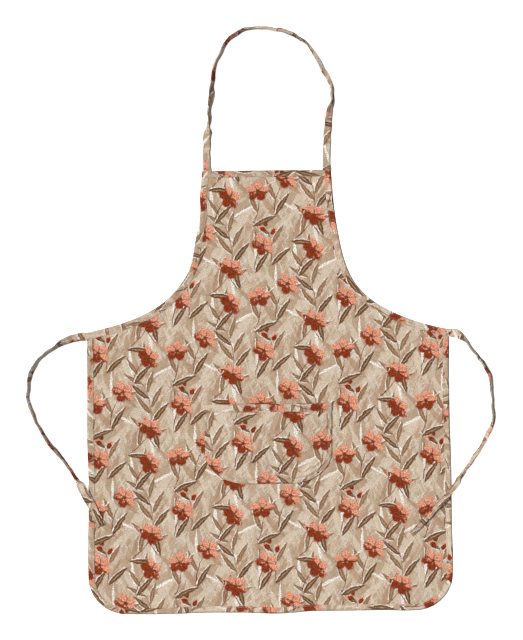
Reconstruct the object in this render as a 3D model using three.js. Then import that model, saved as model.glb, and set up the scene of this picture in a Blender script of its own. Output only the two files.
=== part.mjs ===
import * as THREE from "three";

// A bib apron of printed cotton, lying front up on the surface z = 0 with the bib towards +Y.
// The origin is under the middle of the waist line. All sizes are in millimetres.

// Panel outline
const PANEL_WIDTH = 700;
const SKIRT_LENGTH = 544;
const BIB_HEIGHT = 308.5;
const BIB_TOP_WIDTH = 251;
const HEM_CORNER_RADIUS = 70;
const ARMHOLE_WAIST_HANDLE = { x: 143, y: 40 };
const ARMHOLE_BIB_HANDLE = { x: 136.5, y: 118 };

// Cloth, and the tape that is folded over every edge
const CLOTH = 1.0;
const GAP = 0.35;
const SKIRT_BINDING_WIDTH = 12.5;
const BIB_BINDING_WIDTH = 13;
const ARMHOLE_BINDING_WIDTH = 13.5;
const POCKET_BINDING_WIDTH = 15;
const FOLD_CHAMFER = 0.6;
const ARMHOLE_OVERRUN = 4;
const BINDING_END_CLEARANCE = 0.6;

// Strap tape, folded in four and sewn flat
const TAPE_WIDTH = 16.4;
const TAPE_THICKNESS = 2.4;
const TAPE_STEPS_PER_ROW = 2;

// Patch pocket
const POCKET_WIDTH = 245;
const POCKET_DEPTH = 154;
const POCKET_TOP = -142;
const POCKET_CENTRE = -2;
const POCKET_CORNER = { x: 80, y: 62 };
const POCKET_RISE = 8;
const POCKET_FLATNESS = { across: 2.5, down: 1.8 };
const POCKET_MOUTH_SAG = { starts: 0.12, ends: 0.4 };

// How the panel comes down from its bound edge to the surface, by distance from the edge
const SAG_STARTS = 60;
const SAG_ENDS = 140;

// Grid steps
const PANEL_COLUMNS = 24;
const SIDE_ROWS = 19;
const CORNER_STEPS = 5;
const ARMHOLE_STEPS = 18;
const HEM_STEPS = 22;
const BIB_STEPS = 8;
const POCKET_COLUMNS = 14;
const POCKET_SIDE_ROWS = 6;
const POCKET_CORNER_ROWS = 6;
const OUTLINE_SAMPLES = 240;

// Low ridges where the cloth stands off the surface.
// heading is the direction of the crest in degrees from +X, along and across are its half lengths.
const RIDGES = [
  { x: -200, y: -544, heading: 84, along: 170, across: 105, height: 3.4 },
  { x: 45, y: -544, heading: 95, along: 150, across: 115, height: 3.8 },
  { x: 240, y: -536, heading: 102, along: 160, across: 95, height: 2.8 },
  { x: -350, y: -190, heading: 12, along: 130, across: 100, height: 3.0 },
  { x: 350, y: -120, heading: 165, along: 140, across: 110, height: 3.2 },
  { x: -235, y: -70, heading: 62, along: 110, across: 70, height: 2.2 },
  { x: 215, y: -430, heading: 118, along: 120, across: 75, height: 2.0 },
  { x: 20, y: 215, heading: 28, along: 90, across: 70, height: 2.4 },
];

// Routes of the tapes. under is the height of what the tape lies on, and tilt turns it about its own
// length in degrees: 0 lies flat, 90 stands on its edge.
const NECK_STRAP_ROUTE = [
  { x: -113.6, y: 309.5, under: 0.7, tilt: 0 },
  { x: -112.4, y: 350, under: 0, tilt: 0 },
  { x: -111.8, y: 374, under: 0, tilt: 18 },
  { x: -109.6, y: 391, under: 0, tilt: 64 },
  { x: -108.4, y: 411, under: 0, tilt: 94 },
  { x: -108.2, y: 430, under: 0, tilt: 112 },
  { x: -105.4, y: 450, under: 0, tilt: 138 },
  { x: -102.8, y: 470, under: 0, tilt: 130 },
  { x: -100, y: 495, under: 0, tilt: 113 },
  { x: -94.5, y: 517, under: 0, tilt: 112 },
  { x: -84, y: 539, under: 0, tilt: 114 },
  { x: -66, y: 565, under: 0, tilt: 110 },
  { x: -42, y: 580, under: 0, tilt: 100 },
  { x: -15.5, y: 584, under: 0, tilt: 72 },
  { x: 11, y: 581.8, under: 0, tilt: 68 },
  { x: 38, y: 577.3, under: 0, tilt: 72 },
  { x: 62, y: 568, under: 0, tilt: 84 },
  { x: 83, y: 551.5, under: 0, tilt: 94 },
  { x: 97, y: 531.5, under: 0, tilt: 104 },
  { x: 110, y: 508.5, under: 0, tilt: 110 },
  { x: 122, y: 485.5, under: 0, tilt: 106 },
  { x: 129, y: 464, under: 0, tilt: 96 },
  { x: 126, y: 434, under: 0, tilt: 54 },
  { x: 120.8, y: 400, under: 0, tilt: 12 },
  { x: 118.2, y: 355, under: 0, tilt: 0 },
  { x: 117.9, y: 309.5, under: 0.7, tilt: 0 },
];
const LEFT_TIE_ROUTE = [
  { x: -353, y: -7.5, under: 0.7, tilt: 0 },
  { x: -366.4, y: -10.1, under: 0.1, tilt: 0 },
  { x: -387, y: -15.5, under: 0, tilt: 24 },
  { x: -410, y: -27, under: 0, tilt: 58 },
  { x: -431, y: -41, under: 0, tilt: 66 },
  { x: -446.5, y: -56, under: 0, tilt: 67 },
  { x: -457, y: -77, under: 0, tilt: 60 },
  { x: -462.5, y: -101, under: 0, tilt: 65 },
  { x: -463.3, y: -128, under: 0, tilt: 74 },
  { x: -457, y: -151, under: 0, tilt: 100 },
  { x: -446, y: -177, under: 0, tilt: 84 },
  { x: -430.5, y: -205, under: 0, tilt: 78 },
  { x: -414.5, y: -226, under: 0, tilt: 76 },
  { x: -398, y: -245, under: 0, tilt: 78 },
  { x: -384, y: -265, under: 0.6, tilt: 84 },
  { x: -371, y: -284, under: 2.2, tilt: 104 },
  { x: -359, y: -305, under: 4.2, tilt: 136 },
  { x: -347.5, y: -328, under: 4.3, tilt: 160 },
  { x: -336, y: -351, under: 4.3, tilt: 172 },
  { x: -326, y: -372, under: 4.1, tilt: 178 },
];
const RIGHT_TIE_ROUTE = [
  { x: 353, y: -7.5, under: 0.7, tilt: 0 },
  { x: 364.3, y: -9.7, under: 0.1, tilt: 12 },
  { x: 377, y: -20, under: 0, tilt: 54 },
  { x: 390, y: -38, under: 0, tilt: 70 },
  { x: 404, y: -57, under: 0, tilt: 60 },
  { x: 419, y: -76, under: 0, tilt: 68 },
  { x: 428, y: -97, under: 0, tilt: 74 },
  { x: 430.5, y: -121, under: 0, tilt: 66 },
  { x: 431.5, y: -148, under: 0, tilt: 58 },
  { x: 433, y: -173, under: 0, tilt: 62 },
  { x: 427, y: -196, under: 0, tilt: 118 },
  { x: 415, y: -219, under: 0, tilt: 110 },
  { x: 402.5, y: -240, under: 0, tilt: 100 },
  { x: 390, y: -256, under: 0, tilt: 100 },
  { x: 377, y: -275, under: 0.4, tilt: 108 },
  { x: 363.5, y: -294, under: 2.8, tilt: 116 },
  { x: 348.5, y: -315, under: 4.5, tilt: 122 },
  { x: 330, y: -334.5, under: 4, tilt: 124 },
  { x: 311.5, y: -353.5, under: 3.2, tilt: 128 },
  { x: 292, y: -374, under: 3, tilt: 144 },
  { x: 271, y: -397, under: 3, tilt: 180 },
];

const HALF_WIDTH = PANEL_WIDTH / 2;
const FOLDED_HEIGHT = 3 * CLOTH + 2 * GAP;
const EDGE_STAND = CLOTH + GAP;
const EDGE_INSET = CLOTH + GAP;
const SIDE_END = -SKIRT_LENGTH + HEM_CORNER_RADIUS;
const armhole = new THREE.CubicBezierCurve(
  new THREE.Vector2(HALF_WIDTH, 0),
  new THREE.Vector2(ARMHOLE_WAIST_HANDLE.x, ARMHOLE_WAIST_HANDLE.y),
  new THREE.Vector2(ARMHOLE_BIB_HANDLE.x, ARMHOLE_BIB_HANDLE.y),
  new THREE.Vector2(BIB_TOP_WIDTH / 2, BIB_HEIGHT),
);

const fractions = (steps) => Array.from({ length: steps + 1 }, (_, i) => i / steps);
const smoothstep = THREE.MathUtils.smoothstep;
const degToRad = THREE.MathUtils.degToRad;

// Closed solids

function solid(points, triangles) {
  const volume = triangles.reduce((sum, [a, b, c]) => {
    const normal = new THREE.Vector3().crossVectors(points[b], points[c]);
    return sum + points[a].dot(normal);
  }, 0);
  const outward = volume > 0 ? triangles : triangles.map(([a, b, c]) => [a, c, b]);
  const geometry = new THREE.BufferGeometry().setFromPoints(points);
  geometry.setIndex(outward.flat());
  geometry.computeVertexNormals();
  return geometry;
}

// A cloth wall over a grid of points on its underside.
function clothWall(rows) {
  const columns = rows[0].length;
  const under = rows.flat();
  const over = under.map((point) => point.clone().setZ(point.z + CLOTH));
  const triangles = [];
  const quad = (a, b, c, d) => triangles.push([a, b, c], [a, c, d]);
  const upper = under.length;
  for (let r = 0; r + 1 < rows.length; r += 1) {
    const row = r * columns;
    for (let c = 0; c + 1 < columns; c += 1) {
      const corner = row + c;
      const above = corner + columns;
      quad(corner, above, above + 1, corner + 1);
      quad(upper + corner, upper + corner + 1, upper + above + 1, upper + above);
    }
    const end = row + columns - 1;
    quad(row, upper + row, upper + row + columns, row + columns);
    quad(end, end + columns, upper + end + columns, upper + end);
  }
  const last = under.length - columns;
  for (let c = 0; c + 1 < columns; c += 1) {
    quad(c, c + 1, upper + c + 1, upper + c);
    quad(last + c, upper + last + c, upper + last + c + 1, last + c + 1);
  }
  return solid([...under, ...over], triangles);
}

// A solid through sections of equal point counts, capped by the triangles of the flat profile.
function loft(sections, profile) {
  const count = profile.length;
  const triangles = [];
  for (let s = 0; s + 1 < sections.length; s += 1) {
    for (let i = 0; i < count; i += 1) {
      const here = s * count + i;
      const next = s * count + ((i + 1) % count);
      triangles.push([here, here + count, next + count], [here, next + count, next]);
    }
  }
  const contour = profile.map(([across, up]) => new THREE.Vector2(across, up));
  const last = (sections.length - 1) * count;
  for (const [a, b, c] of THREE.ShapeUtils.triangulateShape(contour, [])) {
    triangles.push([a, b, c], [last + a, last + c, last + b]);
  }
  return solid(sections.flat(), triangles);
}

// Height of the cloth

function bell(distance) {
  return distance < 1 ? Math.cos((Math.PI * distance) / 2) ** 2 : 0;
}

function ridgeHeight(x, y) {
  return RIDGES.reduce((sum, ridge) => {
    const heading = degToRad(ridge.heading);
    const dx = x - ridge.x;
    const dy = y - ridge.y;
    const along = Math.abs(dx * Math.cos(heading) + dy * Math.sin(heading)) / ridge.along;
    const across = Math.abs(dy * Math.cos(heading) - dx * Math.sin(heading)) / ridge.across;
    return sum + ridge.height * bell(along) * bell(across);
  }, 0);
}

// Half of the finished outline, from the middle of the hem up the right side to the bib's top.
function finishedOutline() {
  const middle = HALF_WIDTH - HEM_CORNER_RADIUS;
  const outline = new THREE.Path();
  outline.moveTo(0, -SKIRT_LENGTH);
  outline.lineTo(middle, -SKIRT_LENGTH);
  outline.absarc(middle, SIDE_END, HEM_CORNER_RADIUS, -Math.PI / 2, 0);
  outline.lineTo(HALF_WIDTH, 0);
  outline.bezierCurveTo(...armhole.v1.toArray(), ...armhole.v2.toArray(), ...armhole.v3.toArray());
  outline.lineTo(0, BIB_HEIGHT);
  return outline.getSpacedPoints(OUTLINE_SAMPLES);
}
const outlinePoints = finishedOutline();

function edgeDistance(x, y) {
  const here = new THREE.Vector2(Math.abs(x), y);
  return Math.min(...outlinePoints.map((point) => point.distanceTo(here)));
}

function panelUnder(x, y) {
  const sag = smoothstep(edgeDistance(x, y), SAG_STARTS, SAG_ENDS);
  return EDGE_STAND * (1 - sag) + ridgeHeight(x, y);
}

// Panel

// Height and half width of each row of the panel, from the hem up to the bib's top.
function panelRows() {
  const radius = HEM_CORNER_RADIUS - EDGE_INSET;
  const half = HALF_WIDTH - EDGE_INSET;
  const corner = fractions(CORNER_STEPS).map((f) => {
    const turn = (f * Math.PI) / 2;
    return { y: SIDE_END - radius * Math.cos(turn), half: half - radius + radius * Math.sin(turn) };
  });
  const sides = fractions(SIDE_ROWS)
    .slice(1)
    .map((f) => ({ y: SIDE_END + f * (-EDGE_INSET - SIDE_END), half }));
  const bib = fractions(ARMHOLE_STEPS)
    .slice(1)
    .map((t) => {
      const edge = armhole.getPoint(t);
      const tangent = armhole.getTangent(t);
      const y = edge.y - EDGE_INSET * (t < 1 ? -tangent.x : 1);
      return { y, half: edge.x - EDGE_INSET * tangent.y };
    });
  return [...corner, ...sides, ...bib];
}

function panelGeometry() {
  const rows = panelRows().map(({ y, half }) =>
    fractions(PANEL_COLUMNS).map((f) => {
      const x = half * (2 * f - 1);
      return new THREE.Vector3(x, y, panelUnder(x, y));
    }),
  );
  return clothWall(rows);
}

// Bindings

// The folded tape seen along the edge: distance in from the fold, and height. Cloth lies in its slot.
function foldedProfile(width) {
  const top = FOLDED_HEIGHT;
  return [
    [FOLD_CHAMFER, 0],
    [width, 0],
    [width, CLOTH],
    [CLOTH, CLOTH],
    [CLOTH, top - CLOTH],
    [width, top - CLOTH],
    [width, top],
    [FOLD_CHAMFER, top],
    [0, top - FOLD_CHAMFER],
    [0, FOLD_CHAMFER],
  ];
}

// Folds tape over an edge. A station has a point on the finished edge and the step inwards for 1 mm of tape.
function foldedTape(stations, width, heightAt) {
  const profile = foldedProfile(width);
  const sections = stations.map(({ edge, inwards }) =>
    profile.map(([depth, up]) => {
      const place = edge.clone().addScaledVector(inwards, depth);
      return new THREE.Vector3(place.x, place.y, heightAt(place.x, place.y) + up);
    }),
  );
  return loft(sections, profile);
}

function armholeStations(side) {
  const station = (edge, tangent) => ({
    edge: new THREE.Vector2(side * edge.x, edge.y),
    inwards: new THREE.Vector2(-side * tangent.y, tangent.x),
  });
  const waist = armhole.getTangent(0);
  const overrun = armhole.getPoint(0).addScaledVector(waist, -ARMHOLE_OVERRUN);
  const along = fractions(ARMHOLE_STEPS).map((t) => station(armhole.getPoint(t), armhole.getTangent(t)));
  return [station(overrun, waist), ...along];
}

// Half of the skirt's edge, from the middle of the hem to the waist, where the tape is cut on the slant.
function skirtHalfStations(side) {
  const station = (x, y, inX, inY) => ({
    edge: new THREE.Vector2(side * x, y),
    inwards: new THREE.Vector2(side * inX, inY),
  });
  const middle = HALF_WIDTH - HEM_CORNER_RADIUS;
  const hem = fractions(HEM_STEPS / 2).map((f) => station(f * middle, -SKIRT_LENGTH, 0, 1));
  const corner = fractions(CORNER_STEPS)
    .slice(1)
    .map((f) => {
      const turn = (f * Math.PI) / 2;
      const x = middle + HEM_CORNER_RADIUS * Math.sin(turn);
      const y = SIDE_END - HEM_CORNER_RADIUS * Math.cos(turn);
      return station(x, y, -Math.sin(turn), Math.cos(turn));
    });
  const waist = armhole.getTangent(0);
  const slant = -waist.y / waist.x;
  const top = (ARMHOLE_BINDING_WIDTH + BINDING_END_CLEARANCE) / waist.x;
  const upright = fractions(SIDE_ROWS)
    .slice(1)
    .map((f) => station(HALF_WIDTH, SIDE_END + f * (top - SIDE_END), -1, f < 1 ? 0 : slant));
  return [...hem, ...corner, ...upright];
}

function skirtStations() {
  const left = skirtHalfStations(-1).slice(1).reverse();
  return [...left, ...skirtHalfStations(1)];
}

function bibStations() {
  const tangent = armhole.getTangent(1);
  const reach = BIB_TOP_WIDTH / 2 - (ARMHOLE_BINDING_WIDTH + BINDING_END_CLEARANCE) / tangent.y;
  const slant = -tangent.x / tangent.y;
  return fractions(BIB_STEPS).map((f) => {
    const across = 2 * f - 1;
    const cut = Math.abs(across) === 1 ? across * slant : 0;
    return {
      edge: new THREE.Vector2(across * reach, BIB_HEIGHT),
      inwards: new THREE.Vector2(cut, -1),
    };
  });
}

// Pocket

function pocketHalfWidth(y) {
  const cornerTop = POCKET_TOP - POCKET_DEPTH + POCKET_CORNER.y;
  const down = Math.min(Math.max((cornerTop - y) / POCKET_CORNER.y, 0), 1);
  return POCKET_WIDTH / 2 - POCKET_CORNER.x * (1 - Math.sqrt(1 - down * down));
}

// Underside of the pocket: sewn down at its sides and bottom, open at the mouth.
function pocketUnder(x, y) {
  const across = Math.min(Math.abs(x - POCKET_CENTRE) / pocketHalfWidth(y), 1);
  const down = Math.min(Math.max((POCKET_TOP - y) / POCKET_DEPTH, 0), 1);
  const crown = (1 - across ** POCKET_FLATNESS.across) * (1 - down ** POCKET_FLATNESS.down);
  const mouth = 1 - smoothstep(down, POCKET_MOUTH_SAG.starts, POCKET_MOUTH_SAG.ends);
  return CLOTH + GAP + EDGE_STAND * mouth + POCKET_RISE * crown;
}

function pocketGeometry() {
  const bottom = POCKET_TOP - POCKET_DEPTH;
  const cornerTop = bottom + POCKET_CORNER.y;
  const mouth = POCKET_TOP - EDGE_INSET;
  const corner = fractions(POCKET_CORNER_ROWS)
    .map((f) => cornerTop - POCKET_CORNER.y * Math.sin((f * Math.PI) / 2))
    .reverse();
  const sides = fractions(POCKET_SIDE_ROWS)
    .slice(1)
    .map((f) => cornerTop + f * (mouth - cornerTop));
  const rows = [...corner, ...sides].map((y) =>
    fractions(POCKET_COLUMNS).map((f) => {
      const x = POCKET_CENTRE + pocketHalfWidth(y) * (2 * f - 1);
      return new THREE.Vector3(x, y, pocketUnder(x, y));
    }),
  );
  return clothWall(rows);
}

function pocketMouthStations() {
  return fractions(POCKET_COLUMNS).map((f) => ({
    edge: new THREE.Vector2(POCKET_CENTRE + (POCKET_WIDTH / 2) * (2 * f - 1), POCKET_TOP),
    inwards: new THREE.Vector2(0, -1),
  }));
}

// Straps

function tapeProfile() {
  const half = TAPE_WIDTH / 2;
  const up = TAPE_THICKNESS / 2;
  const flat = half - up;
  return [
    [flat, -up],
    [half, -up / 2],
    [half, up / 2],
    [flat, up],
    [-flat, up],
    [-half, up / 2],
    [-half, -up / 2],
    [-flat, -up],
  ];
}

// Tape along a route, turned by its tilt and standing with its lowest corner on what it lies on.
function strapGeometry(route) {
  const profile = tapeProfile();
  const line = new THREE.CatmullRomCurve3(
    route.map(({ x, y, under }) => new THREE.Vector3(x, y, under)),
    false,
    "catmullrom",
  );
  const tilts = new THREE.SplineCurve(route.map(({ tilt }, row) => new THREE.Vector2(row, tilt)));
  const sections = fractions((route.length - 1) * TAPE_STEPS_PER_ROW).map((t) => {
    const place = line.getPoint(t);
    const heading = line.getTangent(t).setZ(0).normalize();
    const tilt = degToRad(tilts.getPoint(t).y);
    const turned = profile.map(([across, up]) => ({
      across: across * Math.cos(tilt) - up * Math.sin(tilt),
      up: across * Math.sin(tilt) + up * Math.cos(tilt),
    }));
    const lowest = Math.min(...turned.map(({ up }) => up));
    const rest = Math.max(place.z, 0) - lowest;
    return turned.map(({ across, up }) =>
      new THREE.Vector3(place.x + heading.y * across, place.y - heading.x * across, rest + up),
    );
  });
  return loft(sections, profile);
}

// Assembly

const printedCotton = { roughness: 0.9, metalness: 0 };
const panelCloth = new THREE.MeshStandardMaterial({ color: "#c4a489", ...printedCotton });
const pocketCloth = new THREE.MeshStandardMaterial({ color: "#bd9d82", ...printedCotton });
const bindingCloth = new THREE.MeshStandardMaterial({ color: "#b59376", ...printedCotton });
const strapCloth = new THREE.MeshStandardMaterial({ color: "#ab8a6d", ...printedCotton });

const apron = new THREE.Group();

function addPiece(name, geometry, material) {
  const mesh = new THREE.Mesh(geometry, material);
  mesh.name = name;
  apron.add(mesh);
}

addPiece("panel", panelGeometry(), panelCloth);
addPiece("skirt_binding", foldedTape(skirtStations(), SKIRT_BINDING_WIDTH, ridgeHeight), bindingCloth);
addPiece("bib_binding", foldedTape(bibStations(), BIB_BINDING_WIDTH, ridgeHeight), bindingCloth);
for (const [name, side] of [["left", -1], ["right", 1]]) {
  const tape = foldedTape(armholeStations(side), ARMHOLE_BINDING_WIDTH, ridgeHeight);
  addPiece(`${name}_armhole_binding`, tape, bindingCloth);
}
addPiece("neck_strap", strapGeometry(NECK_STRAP_ROUTE), strapCloth);
addPiece("left_tie", strapGeometry(LEFT_TIE_ROUTE), strapCloth);
addPiece("right_tie", strapGeometry(RIGHT_TIE_ROUTE), strapCloth);
addPiece("pocket", pocketGeometry(), pocketCloth);
const belowPocket = (x, y) => pocketUnder(x, y) - EDGE_STAND;
const mouthTape = foldedTape(pocketMouthStations(), POCKET_BINDING_WIDTH, belowPocket);
addPiece("pocket_binding", mouthTape, bindingCloth);

export default apron;
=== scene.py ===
import math

import bpy
import numpy as np
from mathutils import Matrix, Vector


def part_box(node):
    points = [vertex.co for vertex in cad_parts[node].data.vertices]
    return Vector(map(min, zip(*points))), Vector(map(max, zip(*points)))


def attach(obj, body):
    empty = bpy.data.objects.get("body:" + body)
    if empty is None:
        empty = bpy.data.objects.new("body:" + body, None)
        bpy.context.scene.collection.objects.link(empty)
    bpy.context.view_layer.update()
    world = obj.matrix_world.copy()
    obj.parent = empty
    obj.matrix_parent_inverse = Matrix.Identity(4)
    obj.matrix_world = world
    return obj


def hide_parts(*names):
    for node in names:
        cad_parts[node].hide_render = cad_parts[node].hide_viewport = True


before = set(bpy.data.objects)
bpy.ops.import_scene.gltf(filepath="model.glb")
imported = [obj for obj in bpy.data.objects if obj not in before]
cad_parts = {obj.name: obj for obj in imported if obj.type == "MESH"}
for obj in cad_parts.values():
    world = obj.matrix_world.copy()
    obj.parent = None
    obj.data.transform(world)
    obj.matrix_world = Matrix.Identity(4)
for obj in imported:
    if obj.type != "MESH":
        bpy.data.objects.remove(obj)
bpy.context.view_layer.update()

# A kitchen apron of printed cotton, laid flat with its front up.
# Lengths are in metres, and those of the print in millimetres.

MM = 0.001

# Camera: straight above, turned a little because the apron lies slightly askew in the photograph.
IMAGE_HEIGHT = 640
METRES_PER_PIXEL = 0.700 / 363
CAMERA_AIM = (-12.3 * MM, 19.8 * MM)
CAMERA_ROLL = math.radians(-0.75)
CAMERA_HEIGHT = 4.0
SENSOR_WIDTH_MM = 36.0

# Panel outline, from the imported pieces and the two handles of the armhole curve
HALF_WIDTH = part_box("skirt_binding")[1][0]
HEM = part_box("skirt_binding")[0][1]
BIB_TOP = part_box("bib_binding")[1][1]
BIB_HALF = 125.5 * MM
HEM_CORNER = 70 * MM
ARMHOLE = np.array([(HALF_WIDTH, 0), (143 * MM, 40 * MM), (136.5 * MM, 118 * MM), (BIB_HALF, BIB_TOP)])

# Cloth: its thickness, how high and how far in its edge sits in the tape, and where it sinks to the table
CLOTH = 0.7 * MM
EDGE_STAND = 1.4 * MM
EDGE_INSET = 1.6 * MM
SAG_STARTS = 60 * MM
SAG_ENDS = 140 * MM

# Folded tape: widths, the roll at the edge, the thickness of a ply, the height at the seam,
# how far the armhole tape runs past the waist corner, and where the stitches sit
SKIRT_BINDING = 12.5 * MM
BIB_BINDING = 13 * MM
ARMHOLE_BINDING = 13.5 * MM
POCKET_BINDING = 15 * MM
FOLD_HEIGHT = 4.6 * MM
FOLD_REACH = 3.0 * MM
FOLD_LAYER = 0.9 * MM
SEAM_HEIGHT = 3.3 * MM
ARMHOLE_OVERRUN = 4 * MM
STITCH_INSET = 2.0 * MM
STITCH_SINK = 0.34 * MM

# Strap tape
TAPE_WIDTH = 17.8 * MM
TAPE_THICKNESS = 2.4 * MM
TAPE_STEPS_PER_ROW = 9

# Pocket, from its packed box: radii of the lower corners, height of the puff, and height over the panel
POCKET_LOW, POCKET_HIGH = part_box("pocket_binding")
POCKET_CENTRE = (POCKET_LOW[0] + POCKET_HIGH[0]) / 2
POCKET_HALF = (POCKET_HIGH[0] - POCKET_LOW[0]) / 2
POCKET_TOP = POCKET_HIGH[1]
POCKET_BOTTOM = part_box("pocket")[0][1]
POCKET_CORNER = (80 * MM, 62 * MM)
POCKET_RISE = 8 * MM
POCKET_SEAT = 1.5 * MM
POCKET_STITCH_INSET = 7.8 * MM

# Thread
STITCH_PITCH = 3.0 * MM
STITCH_LENGTH = 2.3 * MM
STITCH_RADIUS = 0.28 * MM
THREAD_COLOUR = (196, 178, 153)
THREAD_ROUGHNESS = 0.7

# Low ridges of the cloth: centre, heading of the crest, half length along and across it, height
RIDGE_COLUMNS = ("x", "y", "heading", "along", "across", "height")
RIDGES = (
    (-0.200, -0.544, 84, 0.170, 0.105, 0.0034),
    (0.045, -0.544, 95, 0.150, 0.115, 0.0038),
    (0.240, -0.536, 102, 0.160, 0.095, 0.0028),
    (-0.350, -0.190, 12, 0.130, 0.100, 0.0030),
    (0.350, -0.120, 165, 0.140, 0.110, 0.0032),
    (-0.235, -0.070, 62, 0.110, 0.070, 0.0022),
    (0.215, -0.430, 118, 0.120, 0.075, 0.0020),
    (0.020, 0.215, 28, 0.090, 0.070, 0.0024),
)

# Narrow creases, in the same columns: drag lines at the ties, the bib corners, the armholes and the pocket
CREASES = (
    (-0.285, -0.035, -22, 0.085, 0.013, 0.0011),
    (-0.300, -0.075, -48, 0.080, 0.015, 0.0009),
    (0.290, -0.040, 205, 0.085, 0.014, 0.0011),
    (0.305, -0.085, 232, 0.075, 0.015, 0.0008),
    (-0.085, 0.262, -62, 0.055, 0.011, 0.0008),
    (0.088, 0.258, 244, 0.060, 0.012, 0.0009),
    (-0.160, 0.060, 228, 0.075, 0.014, 0.0010),
    (0.165, 0.055, -46, 0.075, 0.014, 0.0010),
    (-0.160, -0.155, 160, 0.060, 0.011, 0.0009),
    (0.165, -0.165, 15, 0.060, 0.012, 0.0010),
    (0.155, -0.235, -30, 0.065, 0.012, 0.0009),
    (-0.060, -0.345, 80, 0.090, 0.014, 0.0007),
    (-0.290, -0.420, 70, 0.090, 0.016, 0.0009),
    (0.120, -0.480, 96, 0.075, 0.015, 0.0008),
)

# Places where the outline bulges or draws in: centre, reach, and the shift there
NUDGE_COLUMNS = ("x", "y", "reach", "dx", "dy")
NUDGES = (
    (-0.226, -0.544, 0.075, 0, -0.0006),
    (-0.125, -0.544, 0.070, 0, 0.0006),
    (0.014, -0.544, 0.080, 0, -0.0022),
    (0.065, -0.544, 0.060, 0, 0.0014),
    (0.115, -0.544, 0.085, 0, 0.0012),
    (0.205, -0.544, 0.070, 0, 0.0016),
    (0.300, -0.530, 0.070, -0.0014, 0.0006),
    (-0.350, -0.200, 0.110, -0.0015, 0),
    (-0.350, -0.440, 0.140, -0.0030, 0),
    (0.350, -0.120, 0.160, -0.0026, 0),
    (0.350, -0.440, 0.060, 0.0012, 0),
    (-0.128, 0.300, 0.050, 0.0016, 0),
    (-0.130, 0.222, 0.045, 0.0034, 0),
    (-0.150, 0.115, 0.060, 0.0032, 0),
    (-0.210, 0.045, 0.070, 0.0012, 0.0008),
    (0.140, 0.170, 0.090, 0.0020, 0),
    (0.330, 0.010, 0.100, 0, -0.0024),
    (-0.020, 0.575, 0.120, 0, -0.0014),
    (-0.080, 0.550, 0.060, 0.0015, -0.0010),
    (-0.078, 0.556, 0.045, -0.0012, 0.0020),
    (0.066, 0.566, 0.060, 0, -0.0022),
    (0.124, 0.410, 0.120, 0.0019, 0),
    (0.405, -0.060, 0.060, 0.0008, 0),
    (-0.436, -0.190, 0.050, 0.0004, 0),
    (-0.402, -0.242, 0.048, 0.0010, 0),
    (-0.374, -0.288, 0.034, 0.0014, 0),
)

# Routes of the tapes: x, y, height of what the tape lies on, and its turn about its own length in degrees
NECK_STRAP_ROUTE = (
    (-0.1136, 0.3095, 0.0007, 0),
    (-0.1124, 0.3500, 0, 0),
    (-0.1118, 0.3740, 0, 18),
    (-0.1096, 0.3910, 0, 64),
    (-0.1084, 0.4110, 0, 94),
    (-0.1082, 0.4300, 0, 112),
    (-0.1054, 0.4500, 0, 138),
    (-0.1028, 0.4700, 0, 130),
    (-0.1000, 0.4950, 0, 113),
    (-0.0945, 0.5170, 0, 112),
    (-0.0840, 0.5390, 0, 114),
    (-0.0660, 0.5650, 0, 110),
    (-0.0420, 0.5800, 0, 100),
    (-0.0155, 0.5840, 0, 72),
    (0.0110, 0.5818, 0, 68),
    (0.0380, 0.5773, 0, 72),
    (0.0620, 0.5680, 0, 84),
    (0.0830, 0.5515, 0, 94),
    (0.0970, 0.5315, 0, 104),
    (0.1100, 0.5085, 0, 110),
    (0.1220, 0.4855, 0, 106),
    (0.1290, 0.4640, 0, 96),
    (0.1260, 0.4340, 0, 54),
    (0.1208, 0.4000, 0, 12),
    (0.1182, 0.3550, 0, 0),
    (0.1179, 0.3095, 0.0007, 0),
)
LEFT_TIE_ROUTE = (
    (-0.3530, -0.0075, 0.0007, 0),
    (-0.3664, -0.0101, 0.0001, 0),
    (-0.3870, -0.0155, 0, 24),
    (-0.4100, -0.0270, 0, 58),
    (-0.4310, -0.0410, 0, 66),
    (-0.4465, -0.0560, 0, 67),
    (-0.4570, -0.0770, 0, 60),
    (-0.4625, -0.1010, 0, 65),
    (-0.4633, -0.1280, 0, 74),
    (-0.4570, -0.1510, 0, 100),
    (-0.4460, -0.1770, 0, 84),
    (-0.4305, -0.2050, 0, 78),
    (-0.4145, -0.2260, 0, 76),
    (-0.3980, -0.2450, 0, 78),
    (-0.3840, -0.2650, 0.0006, 84),
    (-0.3710, -0.2840, 0.0022, 104),
    (-0.3590, -0.3050, 0.0042, 136),
    (-0.3475, -0.3280, 0.0043, 160),
    (-0.3360, -0.3510, 0.0043, 172),
    (-0.3260, -0.3720, 0.0041, 178),
)
RIGHT_TIE_ROUTE = (
    (0.3530, -0.0075, 0.0007, 0),
    (0.3643, -0.0097, 0.0001, 12),
    (0.3770, -0.0200, 0, 54),
    (0.3900, -0.0380, 0, 70),
    (0.4040, -0.0570, 0, 60),
    (0.4190, -0.0760, 0, 68),
    (0.4280, -0.0970, 0, 74),
    (0.4305, -0.1210, 0, 66),
    (0.4315, -0.1480, 0, 58),
    (0.4330, -0.1730, 0, 62),
    (0.4270, -0.1960, 0, 118),
    (0.4150, -0.2190, 0, 110),
    (0.4025, -0.2400, 0, 100),
    (0.3900, -0.2560, 0, 100),
    (0.3770, -0.2750, 0.0004, 108),
    (0.3635, -0.2940, 0.0028, 116),
    (0.3485, -0.3150, 0.0045, 122),
    (0.3300, -0.3345, 0.0040, 124),
    (0.3115, -0.3535, 0.0032, 128),
    (0.2920, -0.3740, 0.0030, 144),
    (0.2710, -0.3970, 0.0030, 180),
)


# Lie of the cloth


def rows_of(columns, table):
    return [dict(zip(columns, row)) for row in table]


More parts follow.
